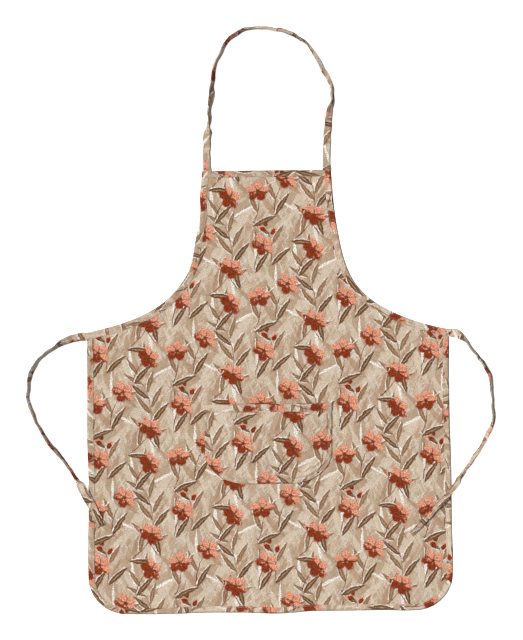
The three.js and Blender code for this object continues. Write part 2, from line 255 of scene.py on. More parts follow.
def bell(distance):
    return np.where(distance < 1, np.cos(np.minimum(distance, 1) * math.pi / 2) ** 2, 0)


def ridge_sum(table, x, y):
    total = np.zeros_like(x)
    for ridge in rows_of(RIDGE_COLUMNS, table):
        turn = math.radians(ridge["heading"])
        dx = x - ridge["x"]
        dy = y - ridge["y"]
        along = np.abs(dx * math.cos(turn) + dy * math.sin(turn)) / ridge["along"]
        across = np.abs(dy * math.cos(turn) - dx * math.sin(turn)) / ridge["across"]
        total += ridge["height"] * bell(along) * bell(across)
    return total


# Low waves of the laid cloth: height for each metre of length, and how softly they are cut off below
SEED = 11
WAVE_COUNT = 26
WAVE_LENGTHS = (38 * MM, 150 * MM)
WAVE_STEEPNESS = 0.0022
WAVE_SOFTNESS = 0.35 * MM


def soft_waves(x, y):
    """Slight unevenness of laid cloth: low waves in all directions, cut off where they would go below."""
    rng = np.random.default_rng(SEED)
    total = np.zeros_like(x)
    for _ in range(WAVE_COUNT):
        length = rng.uniform(*WAVE_LENGTHS)
        turn = rng.uniform(0, 2 * math.pi)
        phase = rng.uniform(0, 2 * math.pi)
        wave = np.sin(2 * math.pi * (x * math.cos(turn) + y * math.sin(turn)) / length + phase)
        total += WAVE_STEEPNESS * length * wave
    return (total + np.sqrt(total**2 + WAVE_SOFTNESS**2)) / 2


def nudged(x, y):
    dx = np.zeros_like(x)
    dy = np.zeros_like(x)
    for nudge in rows_of(NUDGE_COLUMNS, NUDGES):
        near = bell(np.hypot(x - nudge["x"], y - nudge["y"]) / nudge["reach"])
        dx += nudge["dx"] * near
        dy += nudge["dy"] * near
    return x + dx, y + dy


# Outline

OUTLINE_STEP = 2 * MM
ARMHOLE_LENGTH = 420 * MM
POCKET_CORNER_STEPS = 60
POCKET_SEAM_STEP = 3 * MM
POCKET_SEAM_BELOW_MOUTH = 1 * MM
# How many points are compared with a line at a time, to spare memory
NEAREST_BATCH = 4096


def bezier(t):
    """Points and unit tangents of the right armhole, from the waist corner to the bib's top."""
    t = np.asarray(t, dtype=float)[:, None]
    a, b, c, d = ARMHOLE
    points = (1 - t) ** 3 * a + 3 * (1 - t) ** 2 * t * b + 3 * (1 - t) * t**2 * c + t**3 * d
    slope = (1 - t) ** 2 * (b - a) + 2 * (1 - t) * t * (c - b) + t**2 * (d - c)
    return points, slope / np.linalg.norm(slope, axis=1, keepdims=True)


def right_skirt_edge(step):
    """Points and inward directions from the middle of the hem to the right waist corner."""
    middle = HALF_WIDTH - HEM_CORNER
    side_end = HEM + HEM_CORNER
    hem = np.arange(0, middle, step)
    turn = np.linspace(0, math.pi / 2, int(HEM_CORNER * math.pi / 2 / step))
    side = np.arange(side_end + step, 0, step)
    x = np.concatenate([hem, middle + HEM_CORNER * np.sin(turn), np.full(len(side), HALF_WIDTH)])
    y = np.concatenate([np.full(len(hem), HEM), side_end - HEM_CORNER * np.cos(turn), side])
    in_x = np.concatenate([np.zeros(len(hem)), -np.sin(turn), np.full(len(side), -1.0)])
    in_y = np.concatenate([np.ones(len(hem)), np.cos(turn), np.zeros(len(side))])
    return np.stack([x, y], axis=1), np.stack([in_x, in_y], axis=1)


def finished_outline(step):
    skirt, _ = right_skirt_edge(step)
    armhole, _ = bezier(np.linspace(0, 1, int(ARMHOLE_LENGTH / step)))
    top_x = np.arange(BIB_HALF, 0, -step)
    top = np.stack([top_x, np.full(len(top_x), BIB_TOP)], axis=1)
    right = np.concatenate([skirt, armhole, top])
    left = right[::-1] * (-1, 1)
    return np.concatenate([right, left])


def path_lengths(points):
    return np.concatenate([[0], np.cumsum(np.linalg.norm(np.diff(points, axis=0), axis=1))])


def nearest_on(line, x, y):
    """How far along a line its nearest point is, and how far away."""
    flat = np.stack([np.ravel(x), np.ravel(y)], axis=1)
    nearest = np.empty(len(flat), dtype=int)
    for start in range(0, len(flat), NEAREST_BATCH):
        batch = slice(start, start + NEAREST_BATCH)
        gap = np.linalg.norm(flat[batch, None] - line[None], axis=2)
        nearest[batch] = gap.argmin(axis=1)
    heading = np.gradient(line, axis=0)[nearest]
    heading /= np.linalg.norm(heading, axis=1, keepdims=True)
    offset = flat - line[nearest]
    past = (offset * heading).sum(axis=1)
    beside = np.abs(offset[:, 0] * heading[:, 1] - offset[:, 1] * heading[:, 0])
    at_end = (nearest == 0) | (nearest == len(line) - 1)
    along = path_lengths(line)[nearest] + np.where(at_end, 0, past)
    away = np.where(at_end, np.hypot(past, beside), beside)
    return along.reshape(np.shape(x)), away.reshape(np.shape(x))


def pocket_outline(inset):
    """The sewn edge of the pocket from its right mouth corner round to its left one, set in from the edge."""
    turn = np.linspace(0, math.pi / 2, POCKET_CORNER_STEPS)
    corner_y = POCKET_BOTTOM + POCKET_CORNER[1]
    inner_x = POCKET_HALF - POCKET_CORNER[0]
    side = np.arange(POCKET_TOP - POCKET_SEAM_BELOW_MOUTH, corner_y, -POCKET_SEAM_STEP)
    bottom = np.arange(inner_x - POCKET_SEAM_STEP, 0, -POCKET_SEAM_STEP)
    corner_x = inner_x + (POCKET_CORNER[0] - inset) * np.cos(turn)
    x = np.concatenate([np.full(len(side), POCKET_HALF - inset), corner_x, bottom])
    round_y = corner_y - (POCKET_CORNER[1] - inset) * np.sin(turn)
    y = np.concatenate([side, round_y, np.full(len(bottom), POCKET_BOTTOM + inset)])
    right = np.stack([x, y], axis=1)
    left = right[::-1] * (-1, 1)
    return np.concatenate([right, left]) + (POCKET_CENTRE, 0)


OUTLINE = finished_outline(OUTLINE_STEP)
POCKET_SEAM = pocket_outline(0)


# Gathers at the seams

# Rows for a wide and a narrow wave along a seam: its length, then how far and over what length it is shifted
NARROW_SHARE = 0.6
PUCKER_WAVES = ((17 * MM, 1.7, 50 * MM), (10.5 * MM, 1.3, 37 * MM))
SEAM_PUCKER_WAVES = ((14 * MM, 1.6, 43 * MM), (8.5 * MM, 1.2, 27 * MM))

# Gathers of the bound edge: height, reach from the tape, and a slow change along it
PUCKER_HEIGHT = 0.22 * MM
PUCKER_REACH = 12 * MM
PUCKER_MEAN = 0.65
PUCKER_CHANGE = 0.35
PUCKER_CHANGE_LENGTHS = (83 * MM, 191 * MM)
PUCKER_CHANGE_PHASE = 1.0

# Gathers of the pocket's seam, and a fold beside it that wanders, comes and goes
SEAM_PUCKER = 0.7 * MM
SEAM_PUCKER_REACH = 11 * MM
SEAM_PUCKER_LEFT = 0.45
SEAM_RIGHT = (30 * MM, 110 * MM)
SEAM_NEAR = 230 * MM
SEAM_FOLD = 1.9 * MM
SEAM_FOLD_AWAY = 8 * MM
SEAM_FOLD_WANDER = 2 * MM
SEAM_FOLD_WANDER_LENGTH = 18 * MM
SEAM_FOLD_LENGTH = 24 * MM
SEAM_FOLD_PHASE = 1.1


def smoothstep(value, low, high):
    f = np.clip((value - low) / (high - low), 0, 1)
    return f * f * (3 - 2 * f)


def drift(along, length, shift, shift_length):
    """A phase that grows along a seam or a tape, now faster and now slower."""
    return along / length + shift * np.sin(along / shift_length)


def gathers(along, waves):
    wide, narrow = (
        np.sin(drift(along, length / (2 * math.pi), *shifting))
        for length, *shifting in waves
    )
    return wide + NARROW_SHARE * narrow


def wave_sum(along, waves):
    """Waves along a seam or a tape: each row has a size, a length and a phase."""
    return sum(size * np.sin(along / length + phase) for size, length, phase in waves)


def pucker(along, away):
    """Small gathers that the seam draws into the cloth, fading away from the edge."""
    slow, slower = PUCKER_CHANGE_LENGTHS
    change = PUCKER_CHANGE * np.sin(along / slow + PUCKER_CHANGE_PHASE) * np.sin(along / slower)
    fade = np.exp(-np.maximum(away - SKIRT_BINDING, 0) / PUCKER_REACH)
    return PUCKER_HEIGHT * (PUCKER_MEAN + change) * gathers(along, PUCKER_WAVES) * fade


def pocket_pucker(x, y):
    """Gathers across the pocket's seam and a fold beside it, most on the pocket's right side."""
    near = np.hypot(x - POCKET_CENTRE, y - (POCKET_TOP + POCKET_BOTTOM) / 2) < SEAM_NEAR
    along = np.zeros_like(x)
    away = np.full_like(x, SEAM_NEAR)
    along[near], away[near] = nearest_on(POCKET_SEAM, x[near], y[near])
    right = smoothstep(x - POCKET_CENTRE, *SEAM_RIGHT)
    gathered = SEAM_PUCKER * gathers(along, SEAM_PUCKER_WAVES) * np.exp(-away / SEAM_PUCKER_REACH)
    wander = SEAM_FOLD_WANDER * np.sin(along / SEAM_FOLD_WANDER_LENGTH)
    fold = SEAM_FOLD * bell(np.abs(away - SEAM_FOLD_AWAY - wander) / SEAM_FOLD_AWAY)
    come_and_go = (1 + np.sin(along / SEAM_FOLD_LENGTH + SEAM_FOLD_PHASE)) / 2
    share = SEAM_PUCKER_LEFT + (1 - SEAM_PUCKER_LEFT) * right
    return share * gathered + right * come_and_go * fold


def lift(x, y):
    laid = ridge_sum(RIDGES, x, y) + ridge_sum(CREASES, x, y) + soft_waves(x, y) + pocket_pucker(x, y)
    return np.maximum(laid, 0)


def bound_height(x, y):
    """Height of the cloth, with the gathers of the bound edge."""
    along, away = nearest_on(OUTLINE, x, y)
    return np.maximum(lift(x, y) + pucker(along, away), 0)


def panel_under(x, y):
    _, away = nearest_on(OUTLINE, x, y)
    sag = smoothstep(away, SAG_STARTS, SAG_ENDS)
    return EDGE_STAND * (1 - sag) + bound_height(x, y)


# Mesh making

SHARP_EDGE = math.radians(60)
BIAS = math.radians(45)


def add_object(name, data):
    added = bpy.data.objects.new(name, data)
    bpy.context.scene.collection.objects.link(added)
    return added


def make_object(name, points, faces, corner_uv, material):
    mesh = bpy.data.meshes.new(name)
    mesh.from_pydata(points.tolist(), [], [list(face) for face in faces])
    layer = mesh.uv_layers.new(name="Cloth")
    layer.data.foreach_set("uv", np.asarray(corner_uv, dtype=np.float32).ravel())
    mesh.polygons.foreach_set("use_smooth", np.ones(len(mesh.polygons), dtype=bool))
    mesh.set_sharp_from_angle(angle=SHARP_EDGE)
    mesh.materials.append(material)
    piece = add_object(name, mesh)
    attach(piece, "root")
    return piece


def quads(rows, columns):
    corner = (np.arange(rows - 1)[:, None] * columns + np.arange(columns - 1)[None]).ravel()
    return np.stack([corner, corner + 1, corner + columns + 1, corner + columns], axis=1)


def cloth_wall(name, x, y, over, under, uv, material):
    """A closed wall between two height fields on one grid."""
    rows, columns = x.shape
    place_x, place_y = nudged(x, y)
    top = np.stack([place_x, place_y, over], axis=2).reshape(-1, 3)
    bottom = np.stack([place_x, place_y, under], axis=2).reshape(-1, 3)
    count = len(top)
    face_up = quads(rows, columns)
    face_down = face_up[:, ::-1] + count
    index = np.arange(count).reshape(rows, columns)
    rim = np.concatenate([index[0, :-1], index[:-1, -1], index[-1, :0:-1], index[:0:-1, 0]])
    following = np.roll(rim, -1)
    sides = np.stack([following, rim, rim + count, following + count], axis=1)
    faces = np.concatenate([face_up, face_down, sides])
    both = np.concatenate([uv.reshape(-1, 2), uv.reshape(-1, 2)])
    return make_object(name, np.concatenate([top, bottom]), faces, both[faces], material)


def sweep(name, sections, along, around, place_uv, material):
    """A closed solid through an array of sections. along and around place the print on it."""
    steps, count, _ = sections.shape
    s = np.arange(steps - 1)[:, None]
    i = np.arange(count)[None]
    following = (i + 1) % count
    faces = np.stack(
        [s * count + i, (s + 1) * count + i, (s + 1) * count + following, s * count + following], axis=2
    ).reshape(-1, 4)
    grid = np.stack(np.broadcast_arrays(along[:, None], around[None]), axis=2)
    corners = [grid[:-1, :-1], grid[1:, :-1], grid[1:, 1:], grid[:-1, 1:]]
    flat = np.stack(corners, axis=2).reshape(-1, 4, 2)
    points = sections.reshape(-1, 3)
    a, b, c = (points[faces[:, corner]] for corner in range(3))
    inside_out = (a * np.cross(b, c)).sum() < 0
    sides = faces[:, ::-1].tolist() if inside_out else faces.tolist()
    flat = flat[:, ::-1] if inside_out else flat
    first = list(range(count))
    last = list(range((steps - 1) * count, steps * count))
    caps = [first, last[::-1]] if inside_out else [first[::-1], last]
    cap_flat = [(end, place) for end in (along[0], along[-1]) for place in around[:-1]]
    corner_uv = place_uv(np.concatenate([flat.reshape(-1, 2), cap_flat]))
    return make_object(name, points, sides + caps, corner_uv, material)


def bias_cut(shift_x, shift_y):
    """Places the print on tape that is cut slantwise from the cloth."""

    def place(flat):
        along, across = flat.T
        u = shift_x + along * math.cos(BIAS) - across * math.sin(BIAS)
        v = shift_y + along * math.sin(BIAS) + across * math.cos(BIAS)
        return np.stack([u, v], axis=1)

    return place


# Panel

PANEL_COLUMNS = 192
PANEL_ROW_STEP = 3.6 * MM
PANEL_CORNER_ROWS = 24
PANEL_BIB_ROWS = 91


def panel_rows():
    radius = HEM_CORNER - EDGE_INSET
    half = HALF_WIDTH - EDGE_INSET
    side_end = HEM + HEM_CORNER
    turn = np.linspace(0, math.pi / 2, PANEL_CORNER_ROWS)
    sides = np.arange(side_end + PANEL_ROW_STEP, -EDGE_INSET, PANEL_ROW_STEP)
    edge, tangent = bezier(np.linspace(0, 1, PANEL_BIB_ROWS + 1)[1:])
    bib_y = edge[:, 1] + EDGE_INSET * tangent[:, 0]
    bib_y[-1] = BIB_TOP - EDGE_INSET
    bib_half = edge[:, 0] - EDGE_INSET * tangent[:, 1]
    y = np.concatenate([side_end - radius * np.cos(turn), sides, bib_y])
    halves = np.concatenate([half - radius + radius * np.sin(turn), np.full(len(sides), half), bib_half])
    return y, halves


def make_panel(material):
    row_y, row_half = panel_rows()
    across = np.linspace(-1, 1, PANEL_COLUMNS + 1)
    x = row_half[:, None] * across[None]
    y = np.broadcast_to(row_y[:, None], x.shape).copy()
    under = panel_under(x, y)
    return cloth_wall("panel_cloth", x, y, under + CLOTH, under, np.stack([x, y], axis=2), material)


# Bindings

SKIRT_TAPE_PRINT = bias_cut(0.4, 0.1)
BIB_TAPE_PRINT = bias_cut(0.7, 0.2)
POCKET_TAPE_PRINT = bias_cut(0.9, 0.6)
ARMHOLE_STEPS = 110
SKIRT_STEP = 4 * MM
SKIRT_LAST_STEP = 2 * MM
BIB_STEPS = 60
BIB_UNDER_ARMHOLE = 1.5 * MM
POCKET_MOUTH_STEPS = 70
# Share of its width at which a folded tape is flat
FOLD_MIDDLE = 0.6
# The rolled side of a folded tape, in shares of its reach and height
FOLD_SHAPE = (
    (0.4, 0), (0.1, 0.04), (0, 0.16), (0.12, 0.36),
    (0.42, 0.64), (0.74, 0.88), (1.0, 0.97), (1.4, 1.0),
)


def folded_profile(width):
    """The folded tape seen along the edge: distance in from the fold, and height."""
    top = SEAM_HEIGHT
    seam = width - STITCH_INSET
    middle = width * FOLD_MIDDLE
    bottom = [(width - 0.2 * MM, 0.1 * MM), (middle, 0)]
    fold = [(FOLD_REACH * across, FOLD_HEIGHT * up) for across, up in FOLD_SHAPE]
    upper = [
        (middle, top + 0.5 * MM),
        (seam - 1.2 * MM, top + 0.1 * MM),
        (seam, top - STITCH_SINK),
        (seam + 0.9 * MM, top - 0.12 * MM),
        (width - 0.35 * MM, top - 0.26 * MM),
        (width, top - 0.6 * MM),
    ]
    slot = [
        (width - 0.1 * MM, top - FOLD_LAYER),
        (FOLD_REACH, top - FOLD_LAYER),
        (FOLD_REACH, FOLD_LAYER),
        (width - 0.1 * MM, FOLD_LAYER),
        (width, 0.5 * MM),
    ]
    return np.array(bottom + fold + upper + slot)


def fold_tape(name, edge, inwards, width, height_at, place_uv, material, along=None, across=0.0):
    """Folds tape over an edge. inwards steps in from each point, and along and across place the print."""
    profile = folded_profile(width)
    x = edge[:, None, 0] + inwards[:, None, 0] * profile[None, :, 0]
    y = edge[:, None, 1] + inwards[:, None, 1] * profile[None, :, 0]
    z = height_at(x, y) + profile[None, :, 1]
    place_x, place_y = nudged(x, y)
    sections = np.stack([place_x, place_y, z], axis=2)
    around = path_lengths(np.concatenate([profile, profile[:1]]))
    around += across - around[profile[:, 0].argmin()]
    along = path_lengths(edge) if along is None else along
    return sweep(name, sections, along, around, place_uv, material)


def tape_seam(edge, inwards, width, height_at):
    """The line of stitches that holds a folded tape."""
    x, y = (edge + inwards * (width - STITCH_INSET)).T
    z = height_at(x, y) + SEAM_HEIGHT - STITCH_SINK + STITCH_RADIUS / 2
    return np.stack([*nudged(x, y), z], axis=1)


def armhole_edge(side):
    points, tangents = bezier(np.linspace(0, 1, ARMHOLE_STEPS))
    overrun = points[:1] - tangents[:1] * ARMHOLE_OVERRUN
    points = np.concatenate([overrun, points])
    tangents = np.concatenate([tangents[:1], tangents])
    inwards = np.stack([-tangents[:, 1], tangents[:, 0]], axis=1)
    return points * (side, 1), inwards * (side, 1)


def skirt_edge():
    """The whole skirt edge from the left waist to the right, ending under the armhole tape."""
    right, right_in = right_skirt_edge(SKIRT_STEP)
    _, waist = bezier([0])
    slope = -waist[0, 1] / waist[0, 0]
    last_y = ARMHOLE_BINDING / waist[0, 0]
    keep = right[:, 1] < last_y - SKIRT_LAST_STEP
    right = np.concatenate([right[keep], [(HALF_WIDTH, last_y)]])
    right_in = np.concatenate([right_in[keep], [(-1, slope)]])
    left = right[:0:-1] * (-1, 1)
    left_in = right_in[:0:-1] * (-1, 1)
    return np.concatenate([left, right]), np.concatenate([left_in, right_in])


def level_edge(centre, half, y, steps):
    x = centre + half * np.linspace(-1, 1, steps)
    edge = np.stack([x, np.full(len(x), y)], axis=1)
    return edge, np.broadcast_to((0.0, -1.0), edge.shape)


def bib_edge():
    return level_edge(0, BIB_HALF - ARMHOLE_BINDING + BIB_UNDER_ARMHOLE, BIB_TOP, BIB_STEPS)


def pocket_edge():
    return level_edge(POCKET_CENTRE, POCKET_HALF, POCKET_TOP, POCKET_MOUTH_STEPS)


# Pocket

# How square the pocket's puff is across and down, and where the mouth's stand ends, in shares of its depth
POCKET_FLATNESS = (2.5, 1.8)
POCKET_MOUTH_SAG = (0.12, 0.4)
POCKET_COLUMNS = 220
POCKET_ROW_STEP = 1.1 * MM
POCKET_CORNER_ROWS = 46
POCKET_PRINT_SHIFT = (43 * MM, -27 * MM)
POCKET_STITCH_TRIM = 3

# Puff of the turned edge: where the right side begins, its waves, and its shares on the left and the right
PUFF_RIGHT = (-20 * MM, 100 * MM)
PUFF_WAVES = ((1.0, 6.2 * MM, 0.6), (0.8, 3.7 * MM, 1.0))
PUFF_LOW = (0.6, 0.3)
PUFF_WAVE = (0.4, 0.95)
PUFF_BELOW_TAPE = 8 * MM

# Pinched pleats beside the pocket's seam: place along the seam from its right mouth corner,
# how far in from it, half length, half width, slant towards the seam and height
PLEAT_COLUMNS = ("along", "inset", "long", "wide", "slant", "height")
PLEATS = (
    (0.020, 0.0045, 0.022, 0.0022, 0.03, 0.0014),
    (0.034, 0.0095, 0.026, 0.0026, -0.06, 0.0012),
    (0.062, 0.0060, 0.020, 0.0024, 0.10, 0.0013),
    (0.078, 0.0120, 0.024, 0.0030, -0.16, 0.0011),
    (0.104, 0.0055, 0.024, 0.0024, 0.08, 0.0014),
    (0.126, 0.0100, 0.030, 0.0030, 0.12, 0.0015),
    (0.150, 0.0050, 0.026, 0.0024, -0.06, 0.0015),
    (0.172, 0.0120, 0.032, 0.0034, 0.10, 0.0016),
    (0.190, 0.0055, 0.024, 0.0024, -0.05, 0.0013),
    (0.222, 0.0080, 0.026, 0.0028, 0.14, 0.0010),
    (0.048, 0.0140, 0.010, 0.0024, 0.80, 0.0020),
    (0.059, 0.0170, 0.012, 0.0028, -0.55, 0.0022),
    (0.071, 0.0150, 0.009, 0.0024, 0.95, 0.0020),
    (0.092, 0.0190, 0.012, 0.0028, -0.70, 0.0020),
    (0.115, 0.0160, 0.011, 0.0026, 0.60, 0.0021),
    (0.138, 0.0190, 0.022, 0.0028, 0.18, 0.0022),
    (0.160, 0.0220, 0.024, 0.0030, -0.20, 0.0022),
    (0.186, 0.0170, 0.020, 0.0028, 0.25, 0.0019),
    (0.026, 0.0160, 0.014, 0.0024, 0.20, 0.0018),
    (0.300, 0.0065, 0.022, 0.0026, -0.10, 0.0008),
    (0.352, 0.0060, 0.024, 0.0026, 0.08, 0.0009),
    (0.420, 0.0070, 0.020, 0.0026, -0.06, 0.0007),
)


def pocket_pleats(along, away):
    total = np.zeros_like(along)
    for pleat in rows_of(PLEAT_COLUMNS, PLEATS):
        past = along - pleat["along"]
        beside = away - pleat["inset"] - pleat["slant"] * past
        total += pleat["height"] * bell(np.abs(past) / pleat["long"]) * bell(np.abs(beside) / pleat["wide"])
    return total


# Turned edge of the pocket in millimetres: distance in from the edge, and thickness, thin at the stitches
HEM_SECTION = (
    (0, 0.3), (0.3, 1.2), (1.0, 2.0), (2.2, 2.3), (4.5, 1.8),
    (7.0, 0.7), (8.3, 0.6), (10.0, 2.0), (12.5, 1.8), (19, 0.7),
)


def pocket_thickness(x, y):
    """Cloth with its puffed, turned edge and the pleats beside it, all flat under the mouth's tape."""
    along, away = nearest_on(POCKET_SEAM, x, y)
    inset, thick = np.array(HEM_SECTION).T * MM
    hem = np.interp(away, inset, thick)
    right = smoothstep(x - POCKET_CENTRE, *PUFF_RIGHT)
    come_and_go = smoothstep(wave_sum(along, PUFF_WAVES), -1, 1)
    low = PUFF_LOW[0] + (PUFF_LOW[1] - PUFF_LOW[0]) * right
    wave = PUFF_WAVE[0] + (PUFF_WAVE[1] - PUFF_WAVE[0]) * right
    puffed = np.maximum(hem - CLOTH, 0) * (low + wave * come_and_go)
    below_tape = smoothstep(POCKET_TOP - y, POCKET_BINDING, POCKET_BINDING + PUFF_BELOW_TAPE)
    return np.minimum(hem, CLOTH) + (puffed + pocket_pleats(along, away)) * below_tape


def pocket_half_width(y):
    down = np.clip((POCKET_BOTTOM + POCKET_CORNER[1] - y) / POCKET_CORNER[1], 0, 1)
    return POCKET_HALF - POCKET_CORNER[0] * (1 - np.sqrt(1 - down**2))


def pocket_under(x, y):
    """Underside of the pocket: sewn down at its sides and bottom, open at the mouth."""
    across = np.clip(np.abs(x - POCKET_CENTRE) / pocket_half_width(y), 0, 1)
    down = np.clip((POCKET_TOP - y) / (POCKET_TOP - POCKET_BOTTOM), 0, 1)
    crown = (1 - across ** POCKET_FLATNESS[0]) * (1 - down ** POCKET_FLATNESS[1])
    mouth = 1 - smoothstep(down, *POCKET_MOUTH_SAG)
    return POCKET_SEAT + lift(x, y) + EDGE_STAND * mouth + POCKET_RISE * crown


def mouth_height(x, y):
    return pocket_under(x, y) - EDGE_STAND


def make_pocket(material):
    bottom_turn = np.linspace(math.pi / 2, 0, POCKET_CORNER_ROWS)
    corner = POCKET_BOTTOM + POCKET_CORNER[1] * (1 - np.sin(bottom_turn))
    first_side = POCKET_BOTTOM + POCKET_CORNER[1] + POCKET_ROW_STEP
    sides = np.arange(first_side, POCKET_TOP - EDGE_INSET, POCKET_ROW_STEP)
    row_y = np.concatenate([corner, sides])
    across = np.linspace(-1, 1, POCKET_COLUMNS + 1)
    x = POCKET_CENTRE + pocket_half_width(row_y)[:, None] * across[None]
    y = np.broadcast_to(row_y[:, None], x.shape).copy()
    uv = np.stack([x, y], axis=2) + POCKET_PRINT_SHIFT
    under = pocket_under(x, y)
    return cloth_wall("pocket_cloth", x, y, under + pocket_thickness(x, y), under, uv, material)


def pocket_stitch_line():
    x, y = pocket_outline(POCKET_STITCH_INSET)[POCKET_STITCH_TRIM:-POCKET_STITCH_TRIM].T
    z = pocket_under(x, y) + pocket_thickness(x, y) + STITCH_RADIUS / 2
    return np.stack([*nudged(x, y), z], axis=1)


# Straps

# Section: a squarish pillow, with a deep groove between the two plies of one edge.
# GROOVE_DEPTHS and GROOVE_SIDES are shares of the groove's depth and of half its gap.
TAPE_FULLNESS = 3.0
TAPE_SECTION_POINTS = 57
TAPE_LIP = math.radians(16)
TAPE_GROOVE = 13 * MM
TAPE_GROOVE_GAP = 0.12 * MM
GROOVE_DEPTHS = (0.25, 0.5, 0.75, 1.0, 0.75, 0.5, 0.25)
GROOVE_SIDES = (-1, -1, -1, 0, 1, 1, 1)

# Softness: hollow, folds and creases along the tape, and the plies of its open edge spread apart
TAPE_CURL = 0.5 * MM
TAPE_FOLDS = 0.8 * MM
TAPE_FOLD_WIDTH = 7.5 * MM
TAPE_FOLD_DRIFT = (21 * MM, 1.7, 12.5 * MM)
TAPE_CREASE = 0.16 * MM
TAPE_CREASE_WAVES = ((2.6 * MM, 260), (9.1 * MM, 90))
TAPE_SPLAY = 3.0 * MM
TAPE_SPLAY_CHANGE = 0.2
TAPE_SPLAY_DRIFT = (14.2 * MM, 0.5, 37 * MM)

# Lie: sway of the tilt in degrees and of the route, away from the ends, and how far sewn ends are tucked in
TAPE_FREE_FROM = 50 * MM
TAPE_SWAY = 3.0
TAPE_SWAY_WAVES = ((1.0, 13 * MM, 0.8), (0.7, 7.1 * MM, 0.0))
TAPE_WANDER = 0.4 * MM
TAPE_WANDER_WAVES = ((1.0, 6.9 * MM, 0.0), (0.8, 4.1 * MM, 2.0))
TAPE_TUCK = 2.7 * MM

# How far tape on its edge is set upright, tape on the panel is laid flat, and where a tie draws in
TAPE_ON_EDGE = (0.6, 0.95)
TAPE_UPRIGHT = 0.5
TAPE_ON_PANEL = (2.0 * MM, 3.2 * MM)
TAPE_LAID_FLAT = 0.55
TAPE_DRAWN_IN = (190 * MM, 260 * MM)
TIE_FAR_WIDTH = {"left": 1.0, "right": 0.62}

# The edge that is turned down: the right or lower one as seen from above
TAPE_DROOP = math.radians(55)
TAPE_DROOP_WIDTH = 4.6 * MM
TAPE_DROOP_FROM = 9 * MM
TAPE_DROOP_WAY = (1.0, -0.6)
TAPE_DROOP_CHANGE = 3.0

# Stretch of the printed cloth that each is cut from
STRAP_PRINT = bias_cut(0.02, 0.31)
NECK_PRINT_SKIP = 0.312
NECK_PRINT_ACROSS = -0.072
TIE_PRINT_SKIP = {"left": 0.480, "right": 0.560}


def catmull_rom(values, steps):
    """A smooth line through rows of numbers, with steps points from each row to the next."""
    values = np.asarray(values, dtype=float)
    padded = np.concatenate([2 * values[:1] - values[1:2], values, 2 * values[-1:] - values[-2:-1]])
    f = np.linspace(0, 1, steps, endpoint=False)[None, :, None]
    before, start, end, after = (padded[i:i + len(values) - 1, None] for i in range(4))
    line = 0.5 * (
        2 * start
        + (end - before) * f
        + (2 * before - 5 * start + 4 * end - after) * f**2
        + (3 * start - before - 3 * end + after) * f**3
    )
    return np.concatenate([line.reshape(-1, values.shape[1]), values[-1:]])


def tape_profile():
    """Across and up places round the tape."""
    turn = np.linspace(TAPE_LIP, 2 * math.pi - TAPE_LIP, TAPE_SECTION_POINTS)
    across = -TAPE_WIDTH / 2 * np.sign(np.cos(turn)) * np.abs(np.cos(turn)) ** (2 / TAPE_FULLNESS)
    up = TAPE_THICKNESS / 2 * np.sign(np.sin(turn)) * np.abs(np.sin(turn)) ** (2 / TAPE_FULLNESS)
    pillow = np.stack([across, up], axis=1)
    depth = np.array(GROOVE_DEPTHS) * TAPE_GROOVE
    gap = np.array(GROOVE_SIDES) * TAPE_GROOVE_GAP
    groove = np.stack([depth - TAPE_WIDTH / 2, gap], axis=1)
    return np.concatenate([pillow, groove])


def lay_tape(route, sewn_ends, far_width=1.0):
    """A tape along its route, with the slight sway of soft cloth. Its far part draws in to far_width."""
    rows = np.array(route, dtype=float)
    for end, inner in sewn_ends:
        outwards = rows[end, :2] - rows[inner, :2]
        rows[end, :2] += TAPE_TUCK * outwards / np.linalg.norm(outwards)
    x, y, under, tilt = catmull_rom(rows, TAPE_STEPS_PER_ROW).T
    centre = np.stack(nudged(x, y), axis=1)
    along = path_lengths(centre)
    heading = np.gradient(centre, axis=0)
    heading /= np.linalg.norm(heading, axis=1, keepdims=True)
    sideways = np.stack([heading[:, 1], -heading[:, 0]], axis=1)
    from_end = np.minimum(along, along[-1] - along)
    free = np.clip(from_end / TAPE_FREE_FROM, 0, 1)
    wander = TAPE_WANDER * wave_sum(along, TAPE_WANDER_WAVES) * free
    centre = centre + wander[:, None] * sideways
    tape = {"centre": centre, "along": along, "sideways": sideways, "rest": np.zeros(len(along))}
    loose = np.clip(from_end / TAPE_DROOP_FROM, 0, 1)
    tape["droop"] = TAPE_DROOP * loose * np.tanh(TAPE_DROOP_CHANGE * (sideways @ TAPE_DROOP_WAY))
    tape["gather"] = 1 - (1 - far_width) * smoothstep(along, *TAPE_DRAWN_IN)
    on_panel = smoothstep(under, *TAPE_ON_PANEL)
    on_edge = smoothstep(np.abs(np.sin(np.radians(tilt))), *TAPE_ON_EDGE)
    straightened = TAPE_UPRIGHT * on_edge * (1 - on_panel) * (90 - tilt)
    flattened = TAPE_LAID_FLAT * on_panel * (180 - tilt)
    sway = TAPE_SWAY * wave_sum(along, TAPE_SWAY_WAVES) * free
    tape["tilt"] = np.radians(tilt + straightened + flattened + sway)
    lowest = tape_points(tape, *tape_profile().T)[:, :, 2].min(axis=1)
    tape["rest"] = np.maximum(under, 0) - lowest
    return tape


